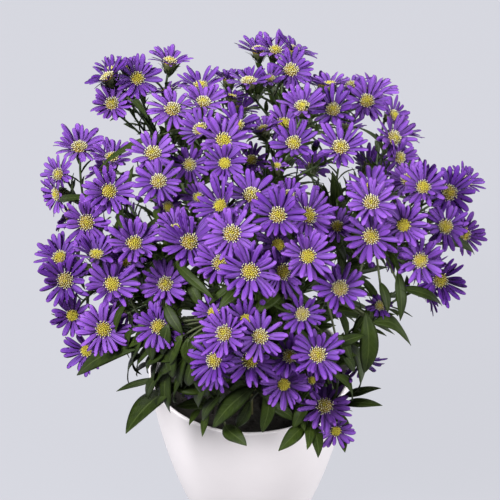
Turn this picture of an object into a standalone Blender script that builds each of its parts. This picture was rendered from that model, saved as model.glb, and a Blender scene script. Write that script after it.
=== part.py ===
"""A violet pot aster in a plain white pot: pot, soil, leafy stems and bloom groups.

Metres, +Z up. The origin is the middle of the pot's foot, and the front of the plant faces -Y.
Each bloom that shows from the front keeps the place that was read by eye, as millimetres right of and
above the middle of the pot's rim in the front sight. A sight line carries it back to an egg-shaped crown.
"""

import math
import random

import bmesh
import bpy
import numpy as np
from mathutils import Vector
from mathutils.bvhtree import BVHTree

MM = 0.001
GAP = 0.0003

# Pot and soil
POT_HEIGHT = 0.125
RIM_RADIUS = 0.072
FOOT_RADIUS = 0.044
WALL = 0.0028
FLOOR = 0.004
LIP_HEIGHT = 0.0016
POT_SIDES = 24
SOIL_DROP = 0.014
SOIL_DEPTH = 0.045
SOIL_SWELL = 0.004

# The front sight: a point 1.55 m from the middle of the rim, 40 degrees up, with the gaze a little flatter
SIGHT_DISTANCE = 1.55
SIGHT_RISE = math.radians(40.0)
SIGHT_PITCH = math.radians(36.95)

# The crown of blooms is a half egg above its middle and a deeper half egg below
CROWN_CENTRE = np.array((0.006, 0.0, 0.254))
CROWN_RADIUS = 0.138
CROWN_RISE = 0.090
CROWN_DROP = 0.118
LAYER_STEP = 0.013
BACK_POINTS = 150
BACK_SPACING = 0.035
BACK_LOWEST = 0.166
BACK_BLOOM = 0.0172

# Flower heads that lie over one another are moved along their sight lines until they are this far apart
HEAD_CLEAR = 0.0016
MOST_MOVE = 0.017

# Stems
STEMS = 9
STEM_FOOT_RING = 0.034
STEM_FOOT_RADIUS = 0.0021
STEM_TOP_RADIUS = 0.0011
STEM_SIDES = 5
STEM_MARKS = (0.0, 0.2, 0.42, 0.62, 0.82, 1.0)
STEM_SINK = 0.022
HEAD_DEPTH = 0.034
STALK_RADIUS = 0.00062
NECK_CLEAR = 0.004
SHORT_STALK = 0.022
CUP_RADIUS = 0.0045
CUP_TOP = 0.0019
CUP_LENGTH = 0.0075

# Blooms
RAYS = 8
SMALL_RAYS = 7
DISC_RADIUS = 0.0050
DISC_RISE = 0.0026
STAR_KEEL = 0.0014
RAY_SHOULDER = 0.765
RAY_THICK = 0.00078
GROUP_LIMITS = (3, 4, 5, 6)
GROUPS = 47
LINK_REACH = 0.040
LINK_STEP = 0.016
LINK_DROP = 0.0018
LINK_LAP = 0.0035
LINK_HALF_WIDTH = 0.0026
LINK_ROOT_ANGLE = 0.35
LINK_HEIGHTS = (0.0005, 0.002, -0.001, 0.0035, 0.005)
RAY_HALF_WIDTH = 0.155
SMALL_BLOOM = 0.0175

# What a ray that would cut another node tries in turn: lift in metres, length share, swing in radians
RAY_TRIES = (
    (0.0, 1.0, 0.0), (0.002, 0.98, 0.0), (-0.0016, 0.98, 0.0), (0.004, 0.95, 0.0), (0.0, 0.97, 0.14),
    (0.0, 0.97, -0.14), (0.0, 0.85, 0.0), (0.006, 0.9, 0.0), (0.003, 0.85, 0.1), (0.003, 0.85, -0.1),
    (0.0, 0.72, 0.0), (0.004, 0.7, 0.0), (0.009, 0.8, 0.0), (0.0, 0.6, 0.0), (0.003, 0.55, 0.0),
    (0.0, 0.46, 0.0),
)
# What a leaf tries: its tip moved in metres, length share, its base moved in metres
TIP_SHIFTS = ((0.0, 0.0, 0.0), (0.0, 0.005, -0.004), (0.0, -0.006, 0.003), (0.005, 0.0, 0.0),
              (-0.005, 0.0, 0.0))
BASE_SHIFTS = ((0.0, 0.0, 0.0), (0.0, 0.008, -0.005), (0.0, 0.014, -0.010), (0.006, 0.004, 0.0),
               (-0.006, 0.004, 0.0))
LEAF_TRIES = tuple((tip, size, base) for size in (1.0, 0.85, 0.7, 0.55, 0.42)
                   for base in BASE_SHIFTS for tip in TIP_SHIFTS)
# What a bloom's stalk tries: how far up the stem its root moves, its bow under the flower, its lean in metres
STALK_TRIES = tuple((shift, bow, lean) for lean in (0.0, 0.006, -0.006, 0.012, -0.012)
                    for shift in (0.0, -0.06, 0.06, -0.12, 0.12, -0.2, 0.2, -0.3)
                    for bow in (0.35, 0.15, 0.6, 0.9))

# Blooms read from the front: mm right, mm up, radius in mm, face right, face up (1 is edge on), layer
BLOOMS = (
    (-101, 205, 17, -0.5, 0.8, 0), (-98, 210, 14, -0.1, 0.95, 1), (-87, 211, 14, 0, 0.9, 1),
    (-80, 204, 18, 0.1, 0.35, 0), (-98, 186, 17, -0.05, 0.45, 0), (-121, 155, 19, -0.05, 0.7, 0),
    (-57, 216, 17, 0.15, 0.9, 0), (-35, 199, 17, 0, 0.85, 1), (-55, 182, 18, 0, 0.6, 0),
    (-33, 187, 17, 0.1, 0.75, 0), (-13, 191, 12, 0.2, 0.95, 1), (-1, 202, 17, -0.1, 0.9, 0),
    (6, 224, 17, -0.1, 0.93, 0), (18, 224, 16, 0.1, 0.8, 0), (31, 224, 17, 0.5, 0.85, 0),
    (29, 210, 17, 0.05, 0.45, 0), (14, 204, 11, 0, 0.7, 1), (57, 200, 14, 0, 0.95, 0),
    (72, 199, 14, -0.1, 0.85, 1), (87, 195, 18, 0.2, 0.85, 1), (37, 184, 17, 0, 0.75, 0),
    (59, 182, 17, 0, 0.4, 0), (83, 188, 17, 0.1, 0.35, 0), (24, 172, 17, 0, 0.6, 2),
    (9, 168, 14, -0.3, 0.9, 2), (31, 158, 17, 0, 0.45, 0), (64, 155, 19, 0.05, 0.55, 0),
    (-35, 168, 17, -0.4, 0.65, 0), (-9, 171, 15, 0.1, 0.65, 0), (-19, 160, 19, 0.25, 0.4, 0),
    (-69, 151, 18, 0, 0.55, 0), (102, 178, 14, 0.7, 0.35, 0), (102, 162, 17, 0.6, 0.25, 0),
    (106, 148, 14, 0.65, 0.1, 1), (-136, 136, 14, -0.55, 0.2, 0), (-137, 122, 15, -0.85, -0.2, 0),
    (-100, 124, 19, 0, 0.2, 0), (-98, 148, 15, 0, 0.7, 1), (-116, 102, 19, -0.15, 0.1, 0),
    (-82, 87, 19, 0, 0.4, 0), (-109, 79, 17, 0, 0.75, 0), (-135, 77, 18, -0.3, 0.6, 1),
    (-65, 131, 17, 0, 0.3, 0), (-43, 143, 14, 0.05, 0.1, 2), (-18, 144, 15, 0, 0.2, 0),
    (1, 146, 13, 0, 0.6, 3), (1, 121, 19, 0, 0.6, 0), (-58, 113, 12, 0, 0.15, 2),
    (-43, 88, 20, -0.05, 0.3, 0), (-53, 97, 15, 0, 0.6, 1), (-21, 114, 18, -0.4, 0.4, 0),
    (-13, 94, 19, -0.05, 0.2, 0), (-21, 73, 17, -0.15, 0.35, 0), (-37, 120, 11, -0.3, 0.4, 2),
    (20, 107, 19, -0.05, 0.3, 0), (41, 107, 19, 0.45, 0.15, 0), (27, 121, 14, 0, 0.7, 1),
    (20, 86, 17, 0, 0.15, 1), (41, 78, 18, 0.1, 0.05, 0), (62, 99, 14, 0.1, 0.4, 2),
    (0, 67, 20, 0, 0, 0), (86, 116, 18, 0, 0.4, 0), (86, 127, 17, 0, 0.7, 1),
    (86, 92, 19, 0, 0.1, 1), (19, 142, 8, 0, 0.8, 2),
    (123, 127, 17, 0, 0.3, 0), (112, 132, 15, -0.2, 0.5, 1), (141, 123, 19, 0.25, 0.1, 0),
    (153, 131, 14, 0.5, 0.5, 1), (109, 100, 18, 0, 0.15, 0), (139, 99, 17, 0, 0.05, 0),
    (152, 94, 16, 0.55, 0, 1), (121, 75, 17, 0, 0.1, 0), (135, 61, 18, 0.25, -0.15, 1),
    (92, 43, 10, 0, 0.1, 2), (-131, 61, 19, -0.05, 0, 0),
    (-126, 36, 16, -0.1, 0, 0), (-104, 26, 19, -0.05, 0.1, 0), (-116, 11, 17, -0.5, -0.2, 1),
    (-98, 58, 19, 0.05, 0.25, 0), (-89, 74, 14, 0, 0.4, 2), (-60, 58, 17, 0, 0.2, 2),
    (-65, 28, 17, 0, 0.1, 1), (-26, 38, 14, 0, 0.5, 1), (-18, 23, 19, -0.4, 0.2, 0),
    (-3, 33, 15, 0, 0.2, 1), (-25, 4, 18, -0.45, 0.05, 0), (-26, -4, 15, -0.3, -0.3, 1),
    (-30, 13, 12, -0.3, 0.2, 2), (0, 4, 19, 0, 0.05, 1), (7, 21, 17, 0.1, 0.1, 0),
    (10, -6, 11, 0.3, -0.5, 2), (23, 67, 18, 0.5, -0.1, 1), (64, 55, 18, 0, 0.25, 1),
    (37, 37, 15, 0.1, 0, 1), (28, 7, 15, 0, 0.05, 1), (48, 8, 19, 0.1, 0.15, 0),
    (24, -13, 17, 0.05, -0.15, 1), (44, -10, 10, 0, 0, 2), (53, -28, 19, 0, 0, 0),
    (61, -46, 14, 0.05, -0.35, 1),
)

# Leaves read from the front, all in mm: base right, base up, base depth, tip right, tip up, tip depth, width
LEAVES = (
    (-60, 165, 14, -106, 141, 6, 7), (-84, 188, 16, -72, 176, 8, 5), (-114, 121, 14, -138, 114, 10, 6),
    (135, 87, 18, 159, 80, 10, 9), (106, 55, 14, 148, 40, 6, 10), (105, 68, 18, 106, 32, 8, 9),
    (87, 31, 14, 114, 18, 2, 11), (82, 38, 16, 81, -5, -4, 13), (71, 15, 18, 75, -18, 6, 14),
    (67, -21, 18, 93, -16, 6, 7), (66, -27, 14, 94, -28, 2, 7), (39, -42, 8, 20, -60, -4, 10),
    (44, -38, 12, 40, -59, 0, 8), (48, -42, 8, 47, -65, -6, 9), (62, -47, 24, 71, -68, 8, 8),
    (64, -33, 16, 77, -57, 4, 10), (-75, 15, 20, -123, -5, 6, 14), (-64, -9, 20, -95, -18, 8, 5),
    (-57, -17, 16, -87, -48, -2, 18), (-58, 1, 22, -57, -33, 4, 13), (-25, -28, 16, -53, -28, 6, 9),
    (4, -14, 20, -27, -43, -2, 13), (-18, -42, 10, -3, -57, -4, 11), (11, -16, 16, 11, -47, -4, 9),
    (-18, -9, 16, -23, -22, 8, 5), (21, 58, 16, 50, 38, 8, 6), (5, 74, 18, 22, 68, 10, 5),
    (-53, 74, 22, -26, 47, 10, 7), (45, 163, 16, 36, 165, 8, 4), (6, 54, 18, 6, 37, 12, 5),
    (75, 170, 24, 96, 153, 16, 7), (-91, 114, 22, -89, 93, 14, 6), (-71, 111, 24, -60, 102, 16, 6),
    (-36, -30, 14, -43, -42, 4, 5), (-30, -34, 14, -34, -50, 2, 5), (-70, 2, 24, -80, -7, 14, 5),
)
LONG_LEAF = 0.036
LONG_STALK = 0.011
ROOT_TRIES = 16
LEAST_STALK = 0.004
TWIG_SHARES = (0.35, 0.7)
BUD_TRIES = ((0.0, 0.0, 0.0), (0.0, 0.004, -0.003), (0.004, 0.0, 0.0), (-0.004, 0.0, 0.0),
             (0.0, 0.009, -0.007), (0.0, -0.005, 0.004))
BACK_LEAVES = 14
RUFF_LEAVES = 26
STEM_LEAVES = 3
LEAF_ARCH = 0.10
STEM_LEAF_WIDTH = 0.0085

# Buds read from the front: mm right, mm up, mm deep, length in mm
BUDS = (
    (-103, 98, 6, 7), (-81, 120, 8, 7), (48, 160, 6, 9), (66, 120, 10, 8), (68, 114, 8, 7),
    (-82, 35, 10, 9), (64, 36, 8, 8), (62, -11, 10, 7), (72, -11, 8, 7), (115, 55, 6, 9),
    (48, 127, 26, 9), (88, 72, 26, 9), (-16, 44, 6, 8), (9, 45, 6, 8),
)

VIOLET = (0.235, 0.075, 0.53)
YELLOW = (0.75, 0.52, 0.10)
GREEN = (0.035, 0.085, 0.022)
WHITE = (0.82, 0.80, 0.81)
BROWN = (0.045, 0.028, 0.018)

RIM_CENTRE = np.array((0.0, 0.0, POT_HEIGHT))
EYE = RIM_CENTRE + SIGHT_DISTANCE * np.array((0.0, -math.cos(SIGHT_RISE), math.sin(SIGHT_RISE)))
RIGHT = np.array((1.0, 0.0, 0.0))
AHEAD = np.array((0.0, math.cos(SIGHT_PITCH), -math.sin(SIGHT_PITCH)))
UP = np.array((0.0, math.sin(SIGHT_PITCH), math.cos(SIGHT_PITCH)))
RIM_AHEAD = float(np.dot(RIM_CENTRE - EYE, AHEAD))
RIM_UP = float(np.dot(RIM_CENTRE - EYE, UP))
SOIL_TOP = POT_HEIGHT - SOIL_DROP


def unit(v):
    """The same direction at length one."""
    return v / np.linalg.norm(v)


# Layout

def sight(x, v):
    """Direction of the sight line through a place given in metres right of and above the rim's middle."""
    return unit(AHEAD * RIM_AHEAD + RIGHT * x + UP * (v + RIM_UP))


def on_crown(x, v, back):
    """Where a sight line first meets the crown, or passes closest to it, and then goes on by back."""
    ray = sight(x, v)
    for half_height in (CROWN_RISE, CROWN_DROP):
        squash = 1.0 / np.array((CROWN_RADIUS, CROWN_RADIUS, half_height))
        start = (EYE - CROWN_CENTRE) * squash
        step = ray * squash
        a = step @ step
        b = start @ step
        inside = max(b * b - a * (start @ start - 1.0), 0.0)
        point = EYE + ray * (-b - math.sqrt(inside)) / a
        if point[2] >= CROWN_CENTRE[2]:
            break
    return point + ray * back


def front_blooms():
    """Centres, normals, radii and moving directions of the blooms read from the front."""
    rows = []
    for x, v, radius, face_right, face_up, layer in BLOOMS:
        ray = sight(x * MM, v * MM)
        centre = on_crown(x * MM, v * MM, layer * LAYER_STEP)
        up = unit(np.cross(RIGHT, ray))
        right = np.cross(ray, up)
        toward = math.sqrt(max(0.0, 1.0 - face_right ** 2 - face_up ** 2))
        rays = RAYS if layer == 0 and radius * MM > SMALL_BLOOM else SMALL_RAYS
        rows.append((centre, unit(face_right * right + face_up * up - toward * ray), radius * MM, -ray, rays))
    return rows


def back_blooms(taken):
    """Blooms on the side that the front sight misses, on a golden-angle lattice round the crown."""
    rng = random.Random(11)
    rows = []
    for i in range(BACK_POINTS):
        height = 1.0 - 2.0 * (i + 0.5) / BACK_POINTS
        angle = i * math.pi * (3.0 - math.sqrt(5.0))
        ring = math.sqrt(1.0 - height * height)
        ball = np.array((ring * math.cos(angle), ring * math.sin(angle), height))
        half_height = CROWN_RISE if height > 0 else CROWN_DROP
        size = np.array((CROWN_RADIUS, CROWN_RADIUS, half_height))
        centre = CROWN_CENTRE + ball * size
        normal = unit(ball / size)
        seen = normal @ unit(EYE - centre)
        spot = centre - normal * rng.uniform(0.0, 0.012)
        lean = np.array((rng.uniform(-0.3, 0.3), rng.uniform(-0.3, 0.3), rng.uniform(0.2, 0.6)))
        if seen > 0.02 or centre[2] < BACK_LOWEST:
            continue
        near = [np.linalg.norm(spot - row[0]) for row in taken + rows]
        if min(near) < BACK_SPACING:
            continue
        face = unit(normal + lean)
        rows.append((spot, face, BACK_BLOOM * rng.uniform(0.88, 1.06), face, SMALL_RAYS))
    return rows


def frame_of(normal):
    """Two directions across a normal, the first level where it can be."""
    across = np.cross(np.array((0.0, 0.0, 1.0)), normal)
    if np.linalg.norm(across) < 0.05:
        across = RIGHT
    across = unit(across - normal * (across @ normal))
    return across, np.cross(normal, across)


def settle(rows):
    """Moves blooms a little along their own lines until their round faces no longer cut each other."""
    centres = np.array([row[0] for row in rows])
    normals = np.array([row[1] for row in rows])
    radii = np.array([row[2] for row in rows])
    lines = np.array([row[3] for row in rows])
    moved = np.zeros(len(rows))
    angles = np.linspace(0.0, 2.0 * math.pi, 13)[:-1]
    rings = np.concatenate([[(0.0, 0.0)],
                            0.5 * np.stack((np.cos(angles[::2]), np.sin(angles[::2])), 1),
                            np.stack((np.cos(angles), np.sin(angles)), 1)])
    frames = [frame_of(n) for n in normals]
    spread = np.array([radii[k] * (rings[:, :1] * frames[k][0] + rings[:, 1:] * frames[k][1])
                       for k in range(len(rows))])
    for turn in range(90):
        worst = 0.0
        for i in range(len(rows)):
            for j in range(len(rows)):
                if i == j or np.linalg.norm(centres[i] - centres[j]) > radii[i] + radii[j]:
                    continue
                away = centres[j] + spread[j] - centres[i]
                height = away @ normals[i]
                flat = np.linalg.norm(away - height[:, None] * normals[i], axis=1)
                over = flat < radii[i]
                if not over.any():
                    continue
                low = height[over].min()
                high = height[over].max()
                if low > HEAD_CLEAR or high < -HEAD_CLEAR:
                    continue
                lift = HEAD_CLEAR - low
                drop = -HEAD_CLEAR - high
                shift = lift if abs(lift) < abs(drop) else drop
                worst = max(worst, abs(shift))
                for k, share in ((j, 0.25 * shift), (i, -0.25 * shift)):
                    slope = lines[k] @ normals[i]
                    if abs(slope) < 0.35:
                        continue
                    step = max(-0.002, min(0.002, share / slope))
                    step = max(-MOST_MOVE - moved[k], min(MOST_MOVE - moved[k], step))
                    moved[k] += step
                    centres[k] = centres[k] + lines[k] * step
        if worst < 0.0003:
            break
    return centres, normals, radii


def share_out(centres):
    """Gives each bloom to one of the stems, whose heads settle in the middle of their own blooms."""
    heads = []
    for k in range(STEMS):
        angle = k * math.pi * (3.0 - math.sqrt(5.0)) - 1.2
        ring = CROWN_RADIUS * 0.85 * math.sqrt((k + 0.3) / STEMS)
        heads.append(CROWN_CENTRE + np.array((ring * math.cos(angle), ring * math.sin(angle), 0.03)))
    heads = np.array(heads)
    for turn in range(12):
        owner = np.linalg.norm(centres[:, None] - heads[None], axis=2).argmin(axis=1)
        heads = np.array([centres[owner == k].mean(axis=0) for k in range(STEMS)])
    return owner, heads


def link_up(centres, normals, radii, owner, necks):
    """Joins neighbours in small groups, nearest first and those of one stem before any others.

    Two blooms are joined only if their linking rays can pass clear of every green cup and its neck.
    """
    pairs = []
    for i in range(len(centres)):
        for j in range(i + 1, len(centres)):
            apart = centres[j] - centres[i]
            middle = unit(normals[i] + normals[j])
            step = abs(apart @ middle)
            level = np.linalg.norm(apart - middle * (apart @ middle))
            if normals[i] @ normals[j] < 0.2 or step > LINK_STEP or level < 0.011:
                continue
            if np.linalg.norm(apart) > min(LINK_REACH, 1.22 * (radii[i] + radii[j])):
                continue
            for height in LINK_HEIGHTS:
                blades = link_blades(i, j, centres, normals, radii, height)[1]
                if not any(necks.hits("", *blade, head=k) for k, blade in zip((i, j), blades)):
                    pairs.append((level + 2.0 * step, i, j))
                    break
    pairs.sort()
    group = list(range(len(centres)))
    links = []
    for shared in (True, False):
        for limit in GROUP_LIMITS:
            for cost, i, j in pairs:
                size = group.count(group[i]) + group.count(group[j])
                if group[i] == group[j] or size > limit or shared != (owner[i] == owner[j]):
                    continue
                if len(set(group)) <= GROUPS:
                    break
                links.append((i, j))
                old = group[j]
                group = [group[i] if g == old else g for g in group]
    return group, links


# Mesh tools

def solid(name, verts, faces, paint, slots=None):
    """A new object from points and faces, turned so that its faces point out."""
    mesh = bpy.data.meshes.new(name)
    mesh.from_pydata([tuple(v) for v in verts], [], faces)
    for material in paint:
        mesh.materials.append(material)
    if slots is not None:
        mesh.polygons.foreach_set("material_index", slots)
    obj = bpy.data.objects.new(name, mesh)
    bpy.context.scene.collection.objects.link(obj)
    tidy = bmesh.new()
    tidy.from_mesh(mesh)
    bmesh.ops.recalc_face_normals(tidy, faces=tidy.faces)
    tidy.to_mesh(mesh)
    tidy.free()
    return obj


def bezier(p0, p1, p2, p3, t):
    """A point on a cubic curve."""
    s = 1.0 - t
    return s ** 3 * p0 + 3 * s * s * t * p1 + 3 * s * t * t * p2 + t ** 3 * p3


def tube_mesh(path, radii, sides):
    """A tube of flat rings along a path, capped at each end. Its rings turn as little as they can."""
    verts = []
    across = RIGHT + np.array((0.0, 0.02, 0.01))
    for k, point in enumerate(path):
        before = path[max(k - 1, 0)]
        after = path[min(k + 1, len(path) - 1)]
        along = unit(after - before)
        across = unit(across - along * (across @ along))
        over = np.cross(along, across)
        for side in range(sides):
            angle = 2.0 * math.pi * side / sides
            verts.append(point + radii[k] * (math.cos(angle) * across + math.sin(angle) * over))
    faces = []
    for k in range(len(path) - 1):
        for side in range(sides):
            a = k * sides + side
            b = k * sides + (side + 1) % sides
            faces.append((a, b, b + sides, a + sides))
    faces.append(tuple(range(sides)))
    faces.append(tuple((len(path) - 1) * sides + side for side in range(sides)))
    return verts, faces


def leaf_mesh(base, tip, width, arch, face, stations, root=None):
    """A lance-shaped blade: flat on top, keeled below, arched towards its face, on a thin stalk from a root."""
    run = tip - base
    length = np.linalg.norm(run)
    along = run / length
    face = unit(face - along * (face @ along))
    side = np.cross(along, face)
    rings = [] if root is None else [(root, 0.0006, 0.0008)]
    if root is not None and np.linalg.norm(base - root) > LONG_STALK:
        rings.append((base, 0.0009, 0.0012))
    for k in range(1, stations + 1):
        t = k / (stations + 1)
        spine = base + run * t + face * arch * length * 4.0 * t * (1.0 - t)
        half = 0.5 * width * math.sin(math.pi * t ** 0.85) ** 0.8
        rings.append((spine, half, 0.0007 * (1.15 - 0.4 * t) + 0.08 * half))
    verts = [base]
    for spine, half, keel in rings:
        verts += [spine - side * half, spine + side * half, spine - face * keel]
    verts.append(tip)
    last = len(verts) - 1
    faces = [(0, 2, 1), (0, 1, 3), (0, 3, 2)]
    if root is not None:
        verts[0] = root - unit(base - root) * 0.0005
    for k in range(len(rings) - 1):
        a = 1 + 3 * k
        b = a + 3
        for p, q in ((0, 1), (1, 2), (2, 0)):
            faces += [(a + p, a + q, b + q), (a + p, b + q, b + p)]
    a = last - 3
    faces += [(a, a + 1, last), (a + 2, a, last), (a + 1, a + 2, last)]
    return verts, faces


def ray_points(centre, frame, reach, angle, rise, half_width):
    """Shoulder points and tip of one ray. rise is the tip's height over the flower's plane."""
    across, over, normal = frame
    shoulder = RAY_SHOULDER * (rise + STAR_KEEL) - STAR_KEEL + RAY_THICK
    out = math.cos(angle) * across + math.sin(angle) * over
    side = -math.sin(angle) * across + math.cos(angle) * over
    middle = centre + out * reach * RAY_SHOULDER + normal * shoulder
    return middle - side * half_width, middle + side * half_width, centre + out * reach + normal * rise


def star_mesh(centre, frame, rays):
    """A flower head: a low disc, rays that rise from its rim, and one keel point below."""
    across, over, normal = frame
    count = len(rays)
    verts = [centre + normal * DISC_RISE, centre - normal * STAR_KEEL]
    angles = [ray["angle"] for ray in rays]
    for k in range(count):
        gap = (angles[(k + 1) % count] - angles[k]) % (2.0 * math.pi)
        middle = angles[k] + 0.5 * gap
        verts.append(centre + DISC_RADIUS * (math.cos(middle) * across + math.sin(middle) * over))
    faces = []
    slots = []
    for k in range(count):
        right_root = 2 + (k - 1) % count
        left_root = 2 + k
        right_shoulder = len(verts)
        left_shoulder = right_shoulder + 1
        tip = right_shoulder + 2
        verts += list(rays[k]["points"])
        faces += [(0, right_root, left_root),
                  (right_root, right_shoulder, left_root),
                  (right_shoulder, left_shoulder, left_root),
                  (right_shoulder, tip, left_shoulder),
                  (1, right_shoulder, right_root),
                  (1, tip, right_shoulder),
                  (1, left_shoulder, tip),
                  (1, left_root, left_shoulder)]
        slots += [1, 0, 0, 0, 0, 0, 0, 0]
    return verts, faces, slots


def probe(verts, faces, swell):
    """A search tree of a shape swollen a little about its own middle lines, to test what it would touch."""
    points = [Vector(v) for v in verts]
    plain = BVHTree.FromPolygons(points, faces)
    if swell <= 0.0:
        return plain
    lift = [Vector((0.0, 0.0, 0.0)) for _ in points]
    for face in faces:
        a, b, c = points[face[0]], points[face[1]], points[face[2]]
        normal = (b - a).cross(c - a)
        if normal.length > 1e-12:
            for index in face:
                lift[index] += normal.normalized()
    grown = [p + n.normalized() * swell if n.length > 1e-9 else p for p, n in zip(points, lift)]
    return BVHTree.FromPolygons(grown, faces)


def reach_box(verts, margin):
    """The lowest and highest corners of some points, with a margin."""
    spots = np.array(verts)
    return spots.min(axis=0) - margin, spots.max(axis=0) + margin


class Crowd:
    """Shapes already placed, each with the node it belongs to, for finding what a new one would touch."""

    def __init__(self):
        self.items = []

    def add(self, node, verts, faces, head=None):
        low, high = reach_box(verts, 0.0)
        self.items.append((node, low, high, probe(verts, faces, 0.0), head))

    def hits(self, node, verts, faces, head=None, swell=GAP):
        """How many shapes of other nodes, or of other heads where a head is given, a new one would touch."""
        low, high = reach_box(verts, swell)
        tree = None
        count = 0
        for other, other_low, other_high, other_tree, other_head in self.items:
            if (low > other_high).any() or (high < other_low).any():
                continue
            if (other == node and head is None) or (head is not None and head == other_head):
                continue
            if tree is None:
                tree = probe(verts, faces, swell)
            if tree.overlap(other_tree):
                count += 1
        return count


def turned_mesh(profile):
    """A closed round body: a profile of radius and height carried round the upright axis."""
    verts = []
    faces = []
    for radius, height in profile:
        for side in range(POT_SIDES):
            angle = 2.0 * math.pi * side / POT_SIDES
            verts.append((radius * math.cos(angle), radius * math.sin(angle), height))
    for k in range(len(profile) - 1):
        for side in range(POT_SIDES):
            a = k * POT_SIDES + side
            b = k * POT_SIDES + (side + 1) % POT_SIDES
            faces.append((a, b, b + POT_SIDES, a + POT_SIDES))
    faces.append(tuple(range(POT_SIDES)))
    faces.append(tuple((len(profile) - 1) * POT_SIDES + side for side in range(POT_SIDES)))
    return verts, faces


def pot_radius(height):
    """Outer radius of the pot: a gently swelling wall that draws in faster towards the foot."""
    down = POT_HEIGHT - height
    return RIM_RADIUS - 0.08 * down - (RIM_RADIUS - 0.08 * POT_HEIGHT - FOOT_RADIUS) * (down / POT_HEIGHT) ** 2


def inner_wall():
    """The rings of the pot's inner wall, as radii and heights, from its floor up."""
    rings = [(FOOT_RADIUS - WALL - 0.001, FLOOR)]
    return rings + [(pot_radius(h) - WALL, h) for h in np.linspace(0.016, POT_HEIGHT - LIP_HEIGHT, 4)]


def inner_radius(height):
    """Inner radius of the pot as it is built, in straight runs between its rings."""
    rings = inner_wall()
    return float(np.interp(height, [h for radius, h in rings], [radius for radius, h in rings]))


def pot_profile():
    """The pot's section: up the outside, over the small lip, down the inside to its floor."""
    foot = FOOT_RADIUS
    outer = [(foot - 0.0015, 0.0), (foot, 0.0015)]
    heights = np.linspace(0.016, POT_HEIGHT - LIP_HEIGHT, 5)
    outer += [(pot_radius(h), h) for h in heights]
    lip = [(RIM_RADIUS - 0.0008, POT_HEIGHT), (RIM_RADIUS - WALL + 0.0006, POT_HEIGHT - 0.0004)]
    return outer + lip + inner_wall()[::-1]


def soil_profile():
    """The soil's section, a little crowned, from its underside to its top."""
    edge = inner_radius(SOIL_TOP - 0.002) - GAP
    foot = inner_radius(SOIL_TOP - SOIL_DEPTH) - GAP
    return [(foot, SOIL_TOP - SOIL_DEPTH), (edge, SOIL_TOP - 0.002), (edge - 0.004, SOIL_TOP),
            (edge * 0.55, SOIL_TOP + SOIL_SWELL)]


# The plant

def on_stem(stem, t):
    """A point on the stem's axis as it is built, in straight runs between its rings."""
    rings = [bezier(*stem, mark) for mark in STEM_MARKS]
    return np.array([np.interp(t, STEM_MARKS, [ring[axis] for ring in rings]) for axis in range(3)])


def stem_path(head):
    """The main stem's curve, from its hole in the soil up to just under its head of blooms."""
    out = np.array((head[0], head[1], 0.0))
    share = min(1.0, np.linalg.norm(out) / 0.09)
    aim = unit(out) if np.linalg.norm(out) > 1e-6 else RIGHT
    foot = aim * STEM_FOOT_RING * share + np.array((0.0, 0.0, SOIL_TOP - STEM_SINK))
    away = unit(head - np.array((0.0, 0.0, SOIL_TOP + 0.03)))
    top = head - away * HEAD_DEPTH
    rise = top[2] - foot[2]
    return foot, foot + np.array((0.0, 0.0, 0.45 * rise)) + aim * 0.004, top - away * 0.35 * rise, top


def stalk_path(stem, centre, normal, radius, start, bow, lean):
    """Points and radii of a bloom's stalk and green cup, from inside the main stem to just under the flower."""
    t = start
    root = on_stem(stem, t)
    along = unit(bezier(*stem, min(1.0, t + 0.02)) - bezier(*stem, t - 0.02))
    size = 0.6 + 0.4 * min(1.0, radius / 0.017)
    top = centre - normal * CUP_TOP
    neck = centre - normal * (CUP_TOP + CUP_LENGTH * size)
    span = np.linalg.norm(neck - root)
    knee = bezier(root, root + along * 0.35 * span, neck - normal * bow * span, neck, 0.5)
    knee = knee + frame_of(normal)[0] * lean
    path = [root, knee, neck, top]
    radii = [STALK_RADIUS * 1.25, STALK_RADIUS * 1.1, STALK_RADIUS * 1.5, CUP_RADIUS * size]
    if span < SHORT_STALK and lean == 0.0:
        path.pop(1)
        radii.pop(1)
    return path, radii


def best_start(stem, centre, normal):
    """How far up the stem a bloom's stalk should leave it, so that it climbs at a natural slope."""
    best = (1e9, 0.5)
    for k in range(12, 48):
        t = k / 50.0
        spot = bezier(*stem, t)
        line = centre - normal * 0.02 - spot
        rise = (line @ unit(bezier(*stem, t + 0.02) - spot)) / np.linalg.norm(line)
        cost = np.linalg.norm(line) + 0.03 * abs(rise - 0.75)
        best = min(best, (cost, t))
    return best[1]


def make_groups(group):
    """Numbers the bloom groups in order of their first bloom."""
    seen = []
    for g in group:
        if g not in seen:
            seen.append(g)
    return {g: k for k, g in enumerate(seen)}


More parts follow.
